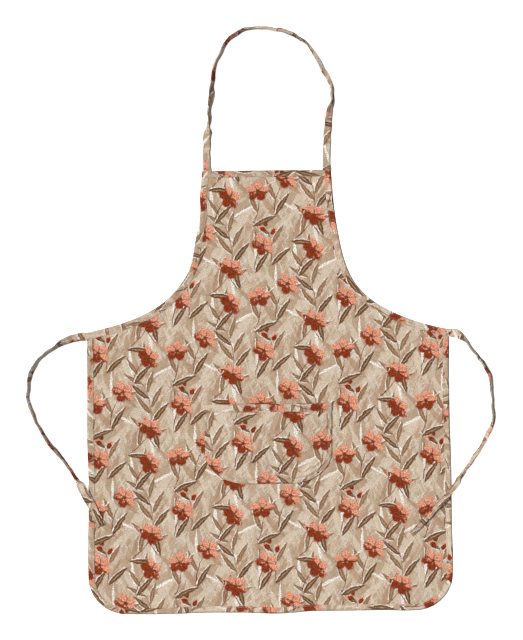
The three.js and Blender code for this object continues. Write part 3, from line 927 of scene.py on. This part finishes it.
def tape_points(tape, across, up):
    """Where points of the section come to lie, at every step along the tape."""
    sine = np.sin(tape["tilt"])[:, None]
    cosine = np.cos(tape["tilt"])[:, None]
    along = tape["along"][:, None]
    curl = TAPE_CURL * (1 / 3 - (2 * across / TAPE_WIDTH) ** 2)
    folds = TAPE_FOLDS * np.sin(2 * math.pi * across / TAPE_FOLD_WIDTH + drift(along, *TAPE_FOLD_DRIFT))
    short, long = (np.sin(along / length + slant * across) for length, slant in TAPE_CREASE_WAVES)
    crease = TAPE_CREASE * short * long
    opened = np.clip(1 - (across + TAPE_WIDTH / 2) / TAPE_GROOVE, 0, 1) * np.sign(up)
    change = TAPE_SPLAY_CHANGE * (np.sin(drift(along, *TAPE_SPLAY_DRIFT)) - 1)
    splay = TAPE_SPLAY * (1 + change) * opened
    droop = tape["droop"][:, None] * np.abs(cosine)
    edge = np.clip(across * np.sign(droop) - TAPE_WIDTH / 2 + TAPE_DROOP_WIDTH, 0, None)
    raised = up + np.abs(sine) * (curl + folds + splay) + crease - edge * np.sin(np.abs(droop))
    across = (across - edge * np.sign(droop) * (1 - np.cos(droop))) * tape["gather"][:, None]
    side = across * cosine - raised * sine
    rise = across * sine + raised * cosine + tape["rest"][:, None]
    flat = tape["centre"][:, None] + tape["sideways"][:, None] * side[:, :, None]
    return np.concatenate([flat, rise[:, :, None]], axis=2)


def strap_seam(tape):
    """The line of stitches beside the groove, on the upper face."""
    across = np.array([STITCH_INSET - TAPE_WIDTH / 2])
    return tape_points(tape, across, np.array([TAPE_THICKNESS / 2]))[:, 0]


def make_strap(name, tape, print_from, print_way, print_across, material):
    """Strap or tie. print_from, print_way and print_across say which stretch of the printed tape it is."""
    profile = tape_profile()
    around = profile[0, 0] + path_lengths(np.concatenate([profile, profile[:1]]))
    along = print_from + print_way * tape["along"]
    sections = tape_points(tape, *profile.T)
    return sweep(name, sections, along, print_across + print_way * around, STRAP_PRINT, material)


# Stitches

# Rings of a stitch: place along it, and share of the full radius
STITCH_RINGS = ((0.0, 0.3), (0.2, 1.0), (0.8, 1.0), (1.0, 0.3))
STITCH_SIDES = 5


def point_at(line, along, distance):
    return np.array([np.interp(distance, along, line[:, axis]) for axis in range(3)])


def make_stitches(name, lines, material):
    """Short stitches along lines, all in one mesh."""
    points = []
    faces = []
    for line in lines:
        along = path_lengths(line)
        for start in np.arange(STITCH_PITCH, along[-1] - STITCH_PITCH, STITCH_PITCH):
            tail = point_at(line, along, start)
            head = point_at(line, along, start + STITCH_LENGTH)
            way = (head - tail) / np.linalg.norm(head - tail)
            beside = np.cross(way, (0, 0, 1))
            beside /= np.linalg.norm(beside)
            above = np.cross(beside, way)
            first = len(points)
            for f, size in STITCH_RINGS:
                for k in range(STITCH_SIDES):
                    turn = 2 * math.pi * k / STITCH_SIDES
                    out = math.cos(turn) * beside + math.sin(turn) * above
                    points.append(tail + f * (head - tail) + STITCH_RADIUS * size * out)
            for ring in range(len(STITCH_RINGS) - 1):
                for k in range(STITCH_SIDES):
                    here = first + ring * STITCH_SIDES + k
                    there = first + ring * STITCH_SIDES + (k + 1) % STITCH_SIDES
                    faces.append((here, there, there + STITCH_SIDES, here + STITCH_SIDES))
    return make_object(name, np.array(points), faces, np.zeros((4 * len(faces), 2)), material)


# Colours and plain materials

# What the light on the apron multiplies a colour by
LIGHT_GAIN = 1.2


def linear(red, green, blue):
    """Cloth colour that comes out as these 0 to 255 screen values under the light, by the sRGB curve."""
    shown = np.array([red, green, blue]) / 255
    low = shown / 12.92
    high = ((shown + 0.055) / 1.055) ** 2.4
    colour = np.where(shown <= 0.04045, low, high) / LIGHT_GAIN
    return (*colour.tolist(), 1.0)


def new_material(name, looks):
    """A Principled material, with the values in looks set on the shader's own sockets."""
    material = bpy.data.materials.new(name)
    material.use_nodes = True
    sockets = material.node_tree.nodes["Principled BSDF"].inputs
    for label, value in looks.items():
        sockets[label].default_value = value
    return material


# Shader graph

# Numbers of the mix node's colour sockets, because it has sockets of the same name for other kinds
MIX_FIRST = 6
MIX_SECOND = 7
MIX_RESULT = 2


class Graph:
    """Short calls for wiring shader nodes. Inputs are sockets or plain values."""

    def __init__(self, tree):
        self.tree = tree

    def node(self, kind, settings=None, **inputs):
        node = self.tree.nodes.new(kind)
        for name, value in (settings or {}).items():
            setattr(node, name, value)
        for name, value in inputs.items():
            self.put(node.inputs[name], value)
        return node

    def put(self, socket, value):
        if isinstance(value, bpy.types.NodeSocket):
            self.tree.links.new(value, socket)
        else:
            socket.default_value = value

    def fed(self, kind, settings, values):
        """Outputs of a node whose first inputs get the values."""
        node = self.node(kind, settings)
        for socket, value in zip(node.inputs, values):
            self.put(socket, value)
        return node.outputs

    def math(self, operation, *values, clamp=False):
        return self.fed("ShaderNodeMath", {"operation": operation, "use_clamp": clamp}, values)["Value"]

    def vector(self, operation, *values):
        output = "Value" if operation == "DOT_PRODUCT" else "Vector"
        return self.fed("ShaderNodeVectorMath", {"operation": operation}, values)[output]

    def mix(self, factor, first, second, blend="MIX"):
        node = self.node("ShaderNodeMix", {"data_type": "RGBA", "blend_type": blend})
        self.put(node.inputs["Factor"], factor)
        self.put(node.inputs[MIX_FIRST], first)
        self.put(node.inputs[MIX_SECOND], second)
        return node.outputs[MIX_RESULT]

    def noise(self, vector, detail, roughness=0.5):
        node = self.node("ShaderNodeTexNoise", Vector=vector, Scale=1.0, Detail=detail, Roughness=roughness)
        return node.outputs["Fac"]

    def spread(self, value, low, high):
        """Stretches the values from low to high over 0 to 1."""
        return self.math("MULTIPLY_ADD", value, 1 / (high - low), -low / (high - low), clamp=True)


def new_mark(name, numbers, outputs):
    """A node group for one mark of the print, with the place to paint seen from the mark's centre."""
    tree = bpy.data.node_groups.new(name, "ShaderNodeTree")
    for label in ("Place", "Centre", "Long", "Wide"):
        tree.interface.new_socket(label, in_out="INPUT", socket_type="NodeSocketVector")
    for label in numbers:
        tree.interface.new_socket(label, in_out="INPUT", socket_type="NodeSocketFloat")
    for label in outputs:
        tree.interface.new_socket(label, in_out="OUTPUT", socket_type="NodeSocketFloat")
    start = tree.nodes.new("NodeGroupInput").outputs
    end = tree.nodes.new("NodeGroupOutput").inputs
    g = Graph(tree)
    offset = g.vector("SUBTRACT", start["Place"], start["Centre"])
    local = g.vector("WRAP", offset, (0.5, 0.5, 0.5), (-0.5, -0.5, -0.5))
    along = g.vector("DOT_PRODUCT", local, start["Long"])
    across = g.vector("DOT_PRODUCT", local, start["Wide"])
    return g, start, end, along, across


# Print: a small half-drop repeat of sprigs in millimetres, drawn with brush strokes and open blossoms

REPEAT_WIDTH = 160.0
REPEAT_HEIGHT = 204.0

# How soft a stroke's edge is, and how far painted edges wander
STROKE_EDGE = 0.4
PAINT_WOBBLE = 2.6
WOBBLE_SCALE = 0.16
WOBBLE_DETAIL = 3.0

# A stroke is cut off past its tip and fuller towards its base
STROKE_LIMIT = 1.2
STROKE_FULLER = 0.3

# Petals, in shares of the blossom's radius: notch between them, length past it, and raggedness.
# PETAL_EDGE is how sharply all of it ends, and PETAL_LINE and EYE how wide lines and eye are.
PETALS = 5
PETAL_ROUNDNESS = 0.55
PETAL_NOTCH = 0.56
PETAL_LENGTH = 0.42
PETAL_RAGGED = 0.5
PETAL_EDGE = 9.0
PETAL_LINE = 1.3
PETAL_LINE_SHADE = 0.75
EYE = 1.9

# Shaded side of a blossom: how it falls off across it and to the petals' middles, its grain and its edge
SHADE_ACROSS = -1.4
SHADE_PETAL = -0.6
SHADE_GRAIN = 1.6
SHADE_EDGE = 5.0

# Fine lines along the petals: scale round the blossom and outwards, detail and contrast
SPOKE_TURN = 7.0
SPOKE_OUT = 3.5
SPOKE_DETAIL = 1.0
SPOKE_CONTRAST = 7.0
SPOKE_SHIFT = -3.6


def brush_stroke_group():
    """A stroke pointed at both ends. Long and Wide turn the place in the repeat into -1 to 1 across it."""
    g, start, end, along, across = new_mark("brush_stroke", ["Bend", "Edge"], ["Mask"])
    along = g.math("MINIMUM", along, STROKE_LIMIT)
    square = g.math("MULTIPLY", along, along)
    room = g.math("SUBTRACT", 1.0, square)
    fuller_base = g.math("MULTIPLY_ADD", along, -STROKE_FULLER, 1.0)
    half_width = g.math("MULTIPLY", room, fuller_base)
    bowed = g.math("MULTIPLY_ADD", square, start["Bend"], across)
    inside = g.math("SUBTRACT", half_width, g.math("ABSOLUTE", bowed))
    g.put(end["Mask"], g.math("MULTIPLY", inside, start["Edge"], clamp=True))
    return g.tree


def blossom_group():
    """An open blossom with a shaded side, lines between the petals and a dark eye."""
    g, start, end, a, b = new_mark("blossom", ["Grain", "Depth"], ["Mask", "Shade", "Eye", "Lines"])
    radius = g.math("SQRT", g.math("MULTIPLY_ADD", a, a, g.math("MULTIPLY", b, b)))
    turn = g.math("ARCTAN2", b, a)
    petal = g.math("ABSOLUTE", g.math("COSINE", g.math("MULTIPLY", turn, PETALS / 2)))
    rounded = g.math("POWER", petal, PETAL_ROUNDNESS)
    reach = g.math("MULTIPLY_ADD", rounded, PETAL_LENGTH, PETAL_NOTCH - PETAL_RAGGED / 2)
    ragged = g.math("MULTIPLY_ADD", start["Grain"], PETAL_RAGGED, reach)
    mask = g.math("MULTIPLY", g.math("SUBTRACT", ragged, radius), PETAL_EDGE, clamp=True)
    line = g.math("MULTIPLY_ADD", g.math("MULTIPLY", petal, radius), -PETAL_EDGE, PETAL_LINE, clamp=True)
    grain = g.math("MULTIPLY_ADD", start["Grain"], SHADE_GRAIN, -SHADE_GRAIN / 2)
    side = g.math("MULTIPLY_ADD", b, SHADE_ACROSS, g.math("MULTIPLY_ADD", petal, SHADE_PETAL, start["Depth"]))
    shaded = g.math("MULTIPLY", g.math("ADD", side, grain), SHADE_EDGE, clamp=True)
    shade = g.math("MAXIMUM", shaded, g.math("MULTIPLY", line, PETAL_LINE_SHADE))
    eye = g.math("MULTIPLY_ADD", radius, -PETAL_EDGE, EYE, clamp=True)
    round_it = g.math("MULTIPLY", turn, SPOKE_TURN)
    outwards = g.math("MULTIPLY", radius, SPOKE_OUT)
    spoke = g.node("ShaderNodeCombineXYZ", X=round_it, Y=outwards).outputs["Vector"]
    lines = g.math("MULTIPLY_ADD", g.noise(spoke, SPOKE_DETAIL), SPOKE_CONTRAST, SPOKE_SHIFT, clamp=True)
    for label, value in (("Mask", mask), ("Shade", shade), ("Eye", eye), ("Lines", lines)):
        g.put(end[label], value)
    return g.tree


def repeat_place(x, y):
    """Place in the half-drop repeat, in fractions of its two steps."""
    return (x / REPEAT_WIDTH, (y - x * REPEAT_HEIGHT / 2 / REPEAT_WIDTH) / REPEAT_HEIGHT, 0)


def repeat_axis(turn_degrees, size):
    """What turns a place in the repeat into distance along a direction, in units of size."""
    turn = math.radians(turn_degrees)
    first = REPEAT_WIDTH * math.cos(turn) + REPEAT_HEIGHT / 2 * math.sin(turn)
    return (first / size, REPEAT_HEIGHT * math.sin(turn) / size, 0)


# Sprigs grow from x, y towards heading. bend is how far the stem bows to its left.
SPRIG_COLUMNS = ("x", "y", "heading", "length", "bend", "leaves", "tip")
SPRIGS = (
    (92, 16, 104, 112, -11, 6, "leaf"),
    (16, 8, 74, 84, 9, 3, "blossom"),
    (58, 96, 62, 66, 8, 2, "blossom"),
    (4, 116, 94, 88, -8, 4, "buds"),
    (128, 92, 78, 76, -8, 3, "blossom"),
    (112, 176, 118, 64, 8, 2, "buds"),
    (40, 168, 46, 74, -7, 3, "blossom"),
    (136, 2, 75, 62, 6, 2, "blossom"),
)
# How much of each blossom in turn is dark
BLOSSOM_DEPTHS = (0.25, 0.8, 0.45, 0.65, 0.35)
# Dry brush marks on the ground: heading, length and width, and where in the noise they begin and are full
HATCH_COLUMNS = ("red", "green", "blue", "heading", "length", "width", "begin", "full", "strength")
HATCHES = (
    (188, 152, 124, 58, 36.0, 6.0, 0.54, 0.58, 0.7),
    (216, 201, 183, 112, 40.0, 6.5, 0.55, 0.59, 0.75),
    (158, 126, 99, 74, 24.0, 1.5, 0.61, 0.64, 0.5),
    (244, 237, 227, 48, 28.0, 1.7, 0.62, 0.65, 0.65),
)
HATCH_DETAIL = 1.0
# Leaf shapes behind the sprigs, in the order of painting: their number, half length and half width
GHOST_COLUMNS = ("ink", "count", "long", "wide", "strength")
GHOSTS = (
    ("taupe", 9, 40, 11.0, 0.8),
    ("pale", 8, 37, 8.5, 0.75),
    ("tan", 9, 31, 5.6, 0.8),
    ("white", 9, 30, 3.0, 0.95),
)
# Ghosts: the steps from one to the next across the repeat, in heading and in size, and from kind to kind
GHOST_STEP = 0.618
GHOST_TURN = 67.0
GHOST_SIZE_STEP = 0.37
GHOST_KIND_STEP = 0.21
GHOST_KIND_TURN = 90
GHOST_FIRST_HEADING = 25
GHOST_HEADINGS = 130
GHOST_SMALLEST = 0.85
GHOST_SIZES = 0.3
GHOST_BEND = 0.4

# Leaves: where they grow on the stem, how they get smaller up it, and place and size of a leaf at the tip
STEM_HALF_WIDTH = 1.0
LEAF_HALF_LENGTH = 24.0
LEAF_HALF_WIDTH = 4.6
LEAF_BEND = 0.3
LEAF_SPREAD = 36.0
LEAF_FIRST = 0.1
LEAF_RANGE = 0.66
LEAF_SIZE = 1.15
LEAF_SHRINK = 0.3
LEAF_TIP = (0.94, 0.9)
# Pale highlight and vein of a leaf, in shares of its length and width
HIGHLIGHT = (0.9, 0.75)
HIGHLIGHT_SHIFT = 0.5
VEIN = (0.8, 0.2)
VEIN_BEND = 1.5

# Blossoms and buds. Each bud has a place on the stem and a side, and a longer stalk at the sides.
BLOSSOM_RADIUS = 25.0
BLOSSOM_SQUASH = 0.84
PETAL_LINE_COLOUR = (205, 122, 92)
BUD_RADIUS = 4.6
BUD_CUP = 1.6
BUD_TIP = (1.5, 0.9)
BUD_TIP_OUT = 1.1
BUDS = ((1.0, 0), (0.84, 1), (0.72, -1))
BUD_SPREAD = 46
BUD_STALK = 3
BUD_SIDE_STALK = 9

# Noises: scale across and up for each millimetre, detail, roughness, and the values that become 0 and 1
NOISES = {
    "mottle": (0.045, 0.045, 3.0, 0.5, 0.38, 0.62),
    "streak": (0.16, 0.09, 4.0, 0.65, 0.36, 0.64),
    "dots": (0.3, 0.3, 2.0, 0.7, 0.42, 0.58),
    "flecks": (0.55, 0.55, 2.0, 0.6, 0.38, 0.62),
    "weft_slub": (0.12, 1.6, 2.0, 0.5, 0.3, 0.7),
    "warp_slub": (1.6, 0.12, 2.0, 0.5, 0.3, 0.7),
}

# Inks: the noise that mixes the two colours of each
INKS = {
    "ground": ("mottle", (186, 162, 136), (203, 183, 159)),
    "taupe": ("streak", (174, 146, 118), (190, 164, 138)),
    "pale": ("streak", (208, 189, 166), (224, 208, 188)),
    "tan": ("streak", (166, 132, 104), (187, 154, 127)),
    "white": ("flecks", (221, 208, 191), (252, 248, 242)),
    "brown": ("dots", (130, 96, 68), (158, 125, 96)),
    "dark_brown": ("dots", (94, 62, 39), (126, 91, 64)),
    "rust_brown": ("dots", (104, 52, 28), (122, 66, 40)),
    "rust": ("dots", (114, 39, 13), (152, 65, 33)),
    "coral": ("flecks", (206, 118, 86), (243, 186, 157)),
}
STREAK_COLOUR = (214, 196, 172)
STREAK_STRENGTH = 0.5

# Cotton: pitch and relief of the weave, how slubs and flecks change its tone, and its matt surface
THREAD_PITCH_MM = 0.8
WEAVE_SHARE = 0.5
WEAVE_STRENGTH = 0.35
WEAVE_DEPTH = 0.1 * MM
SLUB_TONE = 0.06
FLECK_TONE = 0.5
DARKEST_TONE = 0.7
COTTON_LOOKS = {"Roughness": 0.88, "Specular IOR Level": 0.1, "Sheen Weight": 0.04, "Sheen Roughness": 0.5}


def stroke(x, y, heading, long, wide, ink, bend=0.0, strength=1.0):
    return {
        "x": x, "y": y, "heading": heading, "long": long, "wide": wide,
        "ink": ink, "bend": bend, "strength": strength,
    }


def ghost_strokes(kind, first):
    """Leaf shapes spread evenly over the repeat, each turned from the one before."""
    strokes = []
    for i in range(kind["count"]):
        x = (first + i * GHOST_STEP) % 1 * REPEAT_WIDTH
        y = (i + first) / kind["count"] * REPEAT_HEIGHT
        heading = GHOST_FIRST_HEADING + (i * GHOST_TURN + first * GHOST_KIND_TURN) % GHOST_HEADINGS
        size = GHOST_SMALLEST + GHOST_SIZES * ((i * GHOST_SIZE_STEP + first) % 1)
        long = kind["long"] * size
        wide = kind["wide"] * size
        strokes.append(stroke(x, y, heading, long, wide, kind["ink"], GHOST_BEND, kind["strength"]))
    return strokes


def step_off(x, y, heading, distance):
    turn = math.radians(heading)
    return x + distance * math.cos(turn), y + distance * math.sin(turn)


def on_stem(sprig, f):
    """Place and heading at a fraction of a bowed stem."""
    heading = sprig["heading"]
    straight = step_off(sprig["x"], sprig["y"], heading, f * sprig["length"])
    x, y = step_off(*straight, heading + 90, 4 * f * (1 - f) * sprig["bend"])
    lean = math.degrees(math.atan2(4 * (1 - 2 * f) * sprig["bend"], sprig["length"]))
    return x, y, heading + lean


def leaf_strokes(x, y, heading, size, ink):
    """A leaf from its base, over a thin pale highlight along one side and under its vein."""
    long = LEAF_HALF_LENGTH * size
    wide = LEAF_HALF_WIDTH * size
    middle = step_off(x, y, heading, long)
    beside = step_off(*middle, heading + 90, HIGHLIGHT_SHIFT * wide)
    return [
        stroke(*beside, heading, long * HIGHLIGHT[0], wide * HIGHLIGHT[1], "white"),
        stroke(*middle, heading, long, wide, ink, LEAF_BEND),
        stroke(*middle, heading, long * VEIN[0], wide * VEIN[1], "tan", VEIN_BEND),
    ]


def bud_strokes(x, y, heading):
    """A closed bud: a dark cup over a light tip."""
    tip = step_off(x, y, heading, BUD_RADIUS * BUD_TIP_OUT)
    return [
        stroke(*tip, heading, BUD_RADIUS * BUD_TIP[0], BUD_RADIUS * BUD_TIP[1], "coral"),
        stroke(x, y, heading, BUD_RADIUS * BUD_CUP, BUD_RADIUS, "rust"),
    ]


def sprig_strokes(sprig):
    stem_ink = "brown" if sprig["tip"] == "leaf" else "rust_brown"
    x, y, _ = on_stem(sprig, 0.5)
    bow = sprig["bend"] / STEM_HALF_WIDTH
    strokes = [stroke(x, y, sprig["heading"], sprig["length"] / 2, STEM_HALF_WIDTH, stem_ink, bow)]
    for i in range(sprig["leaves"]):
        f = LEAF_FIRST + LEAF_RANGE * i / max(sprig["leaves"] - 1, 1)
        side = 1 if i % 2 else -1
        ink = "brown" if i % 3 else "dark_brown"
        x, y, lean = on_stem(sprig, f)
        strokes += leaf_strokes(x, y, lean + side * LEAF_SPREAD, LEAF_SIZE - LEAF_SHRINK * f, ink)
    if sprig["tip"] == "leaf":
        f, size = LEAF_TIP
        strokes += leaf_strokes(*on_stem(sprig, f), size, "brown")
    if sprig["tip"] == "buds":
        for f, side in BUDS:
            x, y, lean = on_stem(sprig, f)
            aim = lean + side * BUD_SPREAD
            stalk = BUD_STALK + BUD_SIDE_STALK * abs(side)
            strokes += bud_strokes(*step_off(x, y, aim, stalk), aim)
    return strokes


def print_noises(g, place):
    """Each noise by its name, as it is and stretched over 0 to 1."""
    plain = {}
    stretched = {}
    for name, (across, up, detail, roughness, low, high) in NOISES.items():
        plain[name] = g.noise(g.vector("MULTIPLY", place, (across, up, 1)), detail, roughness)
        stretched[name] = g.spread(plain[name], low, high)
    return plain, stretched


def brush_marks(g, painted, hatch):
    """How far dry brush marks of one kind cover the cloth."""
    turn = math.radians(hatch["heading"])
    way = (math.cos(turn) / hatch["length"], math.sin(turn) / hatch["length"], 0)
    aside = (-math.sin(turn) / hatch["width"], math.cos(turn) / hatch["width"], 0)
    along = g.vector("DOT_PRODUCT", painted, way)
    across = g.vector("DOT_PRODUCT", painted, aside)
    marks = g.noise(g.node("ShaderNodeCombineXYZ", X=along, Y=across).outputs["Vector"], HATCH_DETAIL)
    return g.math("MULTIPLY", g.spread(marks, hatch["begin"], hatch["full"]), hatch["strength"])


def print_colour(g, place, speckle, patterns):
    """Colour of the print: ground, brush marks, ghosts, sprigs and blossoms, in the order of painting."""
    noise = g.node("ShaderNodeTexNoise", Vector=place, Scale=WOBBLE_SCALE, Detail=WOBBLE_DETAIL)
    wobble = g.vector("SUBTRACT", noise.outputs["Color"], (0.5, 0.5, 0.5))
    painted = g.vector("MULTIPLY_ADD", wobble, (2 * PAINT_WOBBLE,) * 3, place)
    first = g.vector("DOT_PRODUCT", painted, (1 / REPEAT_WIDTH, 0, 0))
    second = g.vector("DOT_PRODUCT", painted, (-0.5 / REPEAT_WIDTH, 1 / REPEAT_HEIGHT, 0))
    lattice = g.node("ShaderNodeCombineXYZ", X=first, Y=second).outputs["Vector"]
    inks = {
        name: g.mix(patterns[pattern], linear(*dark), linear(*light))
        for name, (pattern, dark, light) in INKS.items()
    }

    def add_mark(group, x, y, heading, long, wide, **numbers):
        return g.node(
            "ShaderNodeGroup", {"node_tree": group}, Place=lattice, Centre=repeat_place(x, y),
            Long=repeat_axis(heading, long), Wide=repeat_axis(heading + 90, wide), **numbers,
        ).outputs

    streaks = g.math("MULTIPLY", patterns["streak"], STREAK_STRENGTH)
    colour = g.mix(streaks, inks["ground"], linear(*STREAK_COLOUR))
    for hatch in rows_of(HATCH_COLUMNS, HATCHES):
        cover = brush_marks(g, painted, hatch)
        colour = g.mix(cover, colour, linear(hatch["red"], hatch["green"], hatch["blue"]))

    strokes = []
    for i, kind in enumerate(rows_of(GHOST_COLUMNS, GHOSTS)):
        strokes += ghost_strokes(kind, GHOST_KIND_STEP * i)
    sprigs = rows_of(SPRIG_COLUMNS, SPRIGS)
    for sprig in sprigs:
        strokes += sprig_strokes(sprig)
    brush = brush_stroke_group()
    for mark in strokes:
        shape = [mark[key] for key in ("x", "y", "heading", "long", "wide")]
        cover = add_mark(brush, *shape, Bend=mark["bend"], Edge=mark["wide"] / STROKE_EDGE)["Mask"]
        if mark["strength"] < 1:
            cover = g.math("MULTIPLY", cover, mark["strength"])
        colour = g.mix(cover, colour, inks[mark["ink"]])

    blossom = blossom_group()
    flowering = [sprig for sprig in sprigs if sprig["tip"] == "blossom"]
    for sprig, depth in zip(flowering, BLOSSOM_DEPTHS):
        x, y, lean = on_stem(sprig, 1.0)
        size = (BLOSSOM_RADIUS, BLOSSOM_RADIUS * BLOSSOM_SQUASH)
        flower = add_mark(blossom, x, y, lean - 90, *size, Grain=speckle, Depth=depth)
        petals = g.mix(flower["Lines"], inks["coral"], linear(*PETAL_LINE_COLOUR))
        petals = g.mix(flower["Shade"], petals, inks["rust"])
        petals = g.mix(flower["Eye"], petals, inks["rust_brown"])
        colour = g.mix(flower["Mask"], colour, petals)
    return colour


def printed_cotton(name):
    """Matt woven cotton with the sprigged print, laid by the Cloth map."""
    material = new_material(name, COTTON_LOOKS)
    sockets = material.node_tree.nodes["Principled BSDF"].inputs
    g = Graph(material.node_tree)
    cloth = g.node("ShaderNodeUVMap", {"uv_map": "Cloth"}).outputs["UV"]
    place = g.vector("MULTIPLY", cloth, (1 / MM,) * 3)
    noises, patterns = print_noises(g, place)
    colour = print_colour(g, place, noises["dots"], patterns)
    slub = g.math("ADD", patterns["weft_slub"], patterns["warp_slub"])
    fleck_tone = g.math("MULTIPLY_ADD", patterns["flecks"], FLECK_TONE, DARKEST_TONE)
    tone = g.math("MULTIPLY_ADD", slub, SLUB_TONE, fleck_tone)
    g.put(sockets["Base Color"], g.mix(1.0, colour, tone, "MULTIPLY"))

    turns = 2 * math.pi / THREAD_PITCH_MM
    warp = g.math("SINE", g.vector("DOT_PRODUCT", place, (turns, 0, 0)))
    weft = g.math("SINE", g.vector("DOT_PRODUCT", place, (0, turns, 0)))
    weave = g.math("MULTIPLY_ADD", g.math("MULTIPLY", warp, weft), WEAVE_SHARE, slub)
    bump = g.node("ShaderNodeBump", Height=weave, Strength=WEAVE_STRENGTH, Distance=WEAVE_DEPTH)
    g.put(sockets["Normal"], bump.outputs["Normal"])
    return material


# Stage

FLOOR_REACH = 6.0
FLOOR_LOOKS = {
    "Base Color": (0.93, 0.93, 0.93, 1),
    "Roughness": 0.9,
    "Emission Color": (1, 1, 1, 1),
    "Emission Strength": 0.8,
}
SKY_COLOUR = (0.93, 1.0, 1.12, 1)
SKY_STRENGTH = 0.30
# Suns: the side and the height that the light comes from and its spread in degrees, strength and colour
SUNS = (
    ("key", 148, 50, 12, 3.37, (1.03, 1.0, 0.95)),
    ("fill", -25, 42, 30, 0.3, (1, 1, 1)),
)


def make_floor():
    """A white floor that glows a little, and adds none of its light to the cloth."""
    mesh = bpy.data.meshes.new("floor")
    corners = [(x * FLOOR_REACH, y * FLOOR_REACH, 0) for x, y in ((-1, -1), (1, -1), (1, 1), (-1, 1))]
    mesh.from_pydata(corners, [], [(0, 1, 2, 3)])
    mesh.materials.append(new_material("white_floor", FLOOR_LOOKS))
    floor = add_object("floor", mesh)
    floor.visible_diffuse = False


def make_sun(name, heading, height, spread, strength, colour):
    light = bpy.data.lights.new(name, "SUN")
    light.color = colour
    light.angle = math.radians(spread)
    light.energy = strength
    holder = add_object(name, light)
    holder.rotation_euler = (0, math.radians(90 - height), math.radians(heading))


def make_world():
    world = bpy.data.worlds.new("studio")
    world.use_nodes = True
    background = world.node_tree.nodes["Background"].inputs
    background["Color"].default_value = SKY_COLOUR
    background["Strength"].default_value = SKY_STRENGTH
    bpy.context.scene.world = world
    bpy.context.scene.view_settings.view_transform = "Standard"


def make_camera():
    camera = bpy.data.cameras.new("camera")
    camera.sensor_width = SENSOR_WIDTH_MM
    camera.lens = SENSOR_WIDTH_MM * CAMERA_HEIGHT / (IMAGE_HEIGHT * METRES_PER_PIXEL)
    holder = add_object("camera", camera)
    holder.location = (*CAMERA_AIM, CAMERA_HEIGHT)
    holder.rotation_euler = (0, 0, CAMERA_ROLL)
    bpy.context.scene.camera = holder


# Assembly

make_camera()
make_world()
make_floor()
for sun in SUNS:
    make_sun(*sun)

cotton = printed_cotton("printed_cotton")
thread = new_material("sewing_thread", {"Base Color": linear(*THREAD_COLOUR), "Roughness": THREAD_ROUGHNESS})

neck_tape = lay_tape(NECK_STRAP_ROUTE, [(0, 1), (-1, -2)])
neck_strap = make_strap("neck_strap_tape", neck_tape, NECK_PRINT_SKIP, 1, NECK_PRINT_ACROSS, cotton)
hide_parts("neck_strap")
make_stitches("neck_strap_stitches", [strap_seam(neck_tape)], thread)

panel = make_panel(cotton)
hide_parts("panel")

edge, inwards = skirt_edge()
skirt = fold_tape("skirt_tape", edge, inwards, SKIRT_BINDING, bound_height, SKIRT_TAPE_PRINT, cotton)
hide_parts("skirt_binding")
seams = [tape_seam(edge, inwards, SKIRT_BINDING, bound_height)]
edge, inwards = bib_edge()
bib = fold_tape("bib_tape", edge, inwards, BIB_BINDING, bound_height, BIB_TAPE_PRINT, cotton)
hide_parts("bib_binding")
seams.append(tape_seam(edge, inwards, BIB_BINDING, bound_height))

# Neck strap, armhole bindings and ties are each cut from their own stretch of the printed cloth.
for name, side, route, top_row in (("left", -1, LEFT_TIE_ROUTE, 0), ("right", 1, RIGHT_TIE_ROUTE, -1)):
    print_from = neck_tape["along"][top_row]
    print_across = abs(NECK_STRAP_ROUTE[top_row][0]) - BIB_HALF
    edge, inwards = armhole_edge(side)
    below_top = path_lengths(edge)[-1] - path_lengths(edge)
    tape = fold_tape(
        f"{name}_armhole_tape", edge, inwards, ARMHOLE_BINDING, bound_height, STRAP_PRINT, cotton,
        along=print_from + side * below_top, across=print_across,
    )
    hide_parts(f"{name}_armhole_binding")
    seams.append(tape_seam(edge, inwards, ARMHOLE_BINDING, bound_height))

    tie_tape = lay_tape(route, [], TIE_FAR_WIDTH[name])
    tie_from = print_from + side * (below_top[0] + TIE_PRINT_SKIP[name])
    tie = make_strap(f"{name}_tie_tape", tie_tape, tie_from, side, print_across + ARMHOLE_BINDING / 2, cotton)
    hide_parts(f"{name}_tie")
    make_stitches(f"{name}_tie_stitches", [strap_seam(tie_tape)], thread)

pocket = make_pocket(cotton)
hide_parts("pocket")
edge, inwards = pocket_edge()
mouth = fold_tape("pocket_tape", edge, inwards, POCKET_BINDING, mouth_height, POCKET_TAPE_PRINT, cotton)
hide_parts("pocket_binding")

panel_stitches = make_stitches("panel_stitches", seams, thread)
mouth_seam = tape_seam(edge, inwards, POCKET_BINDING, mouth_height)
pocket_stitches = make_stitches("pocket_stitches", [pocket_stitch_line(), mouth_seam], thread)
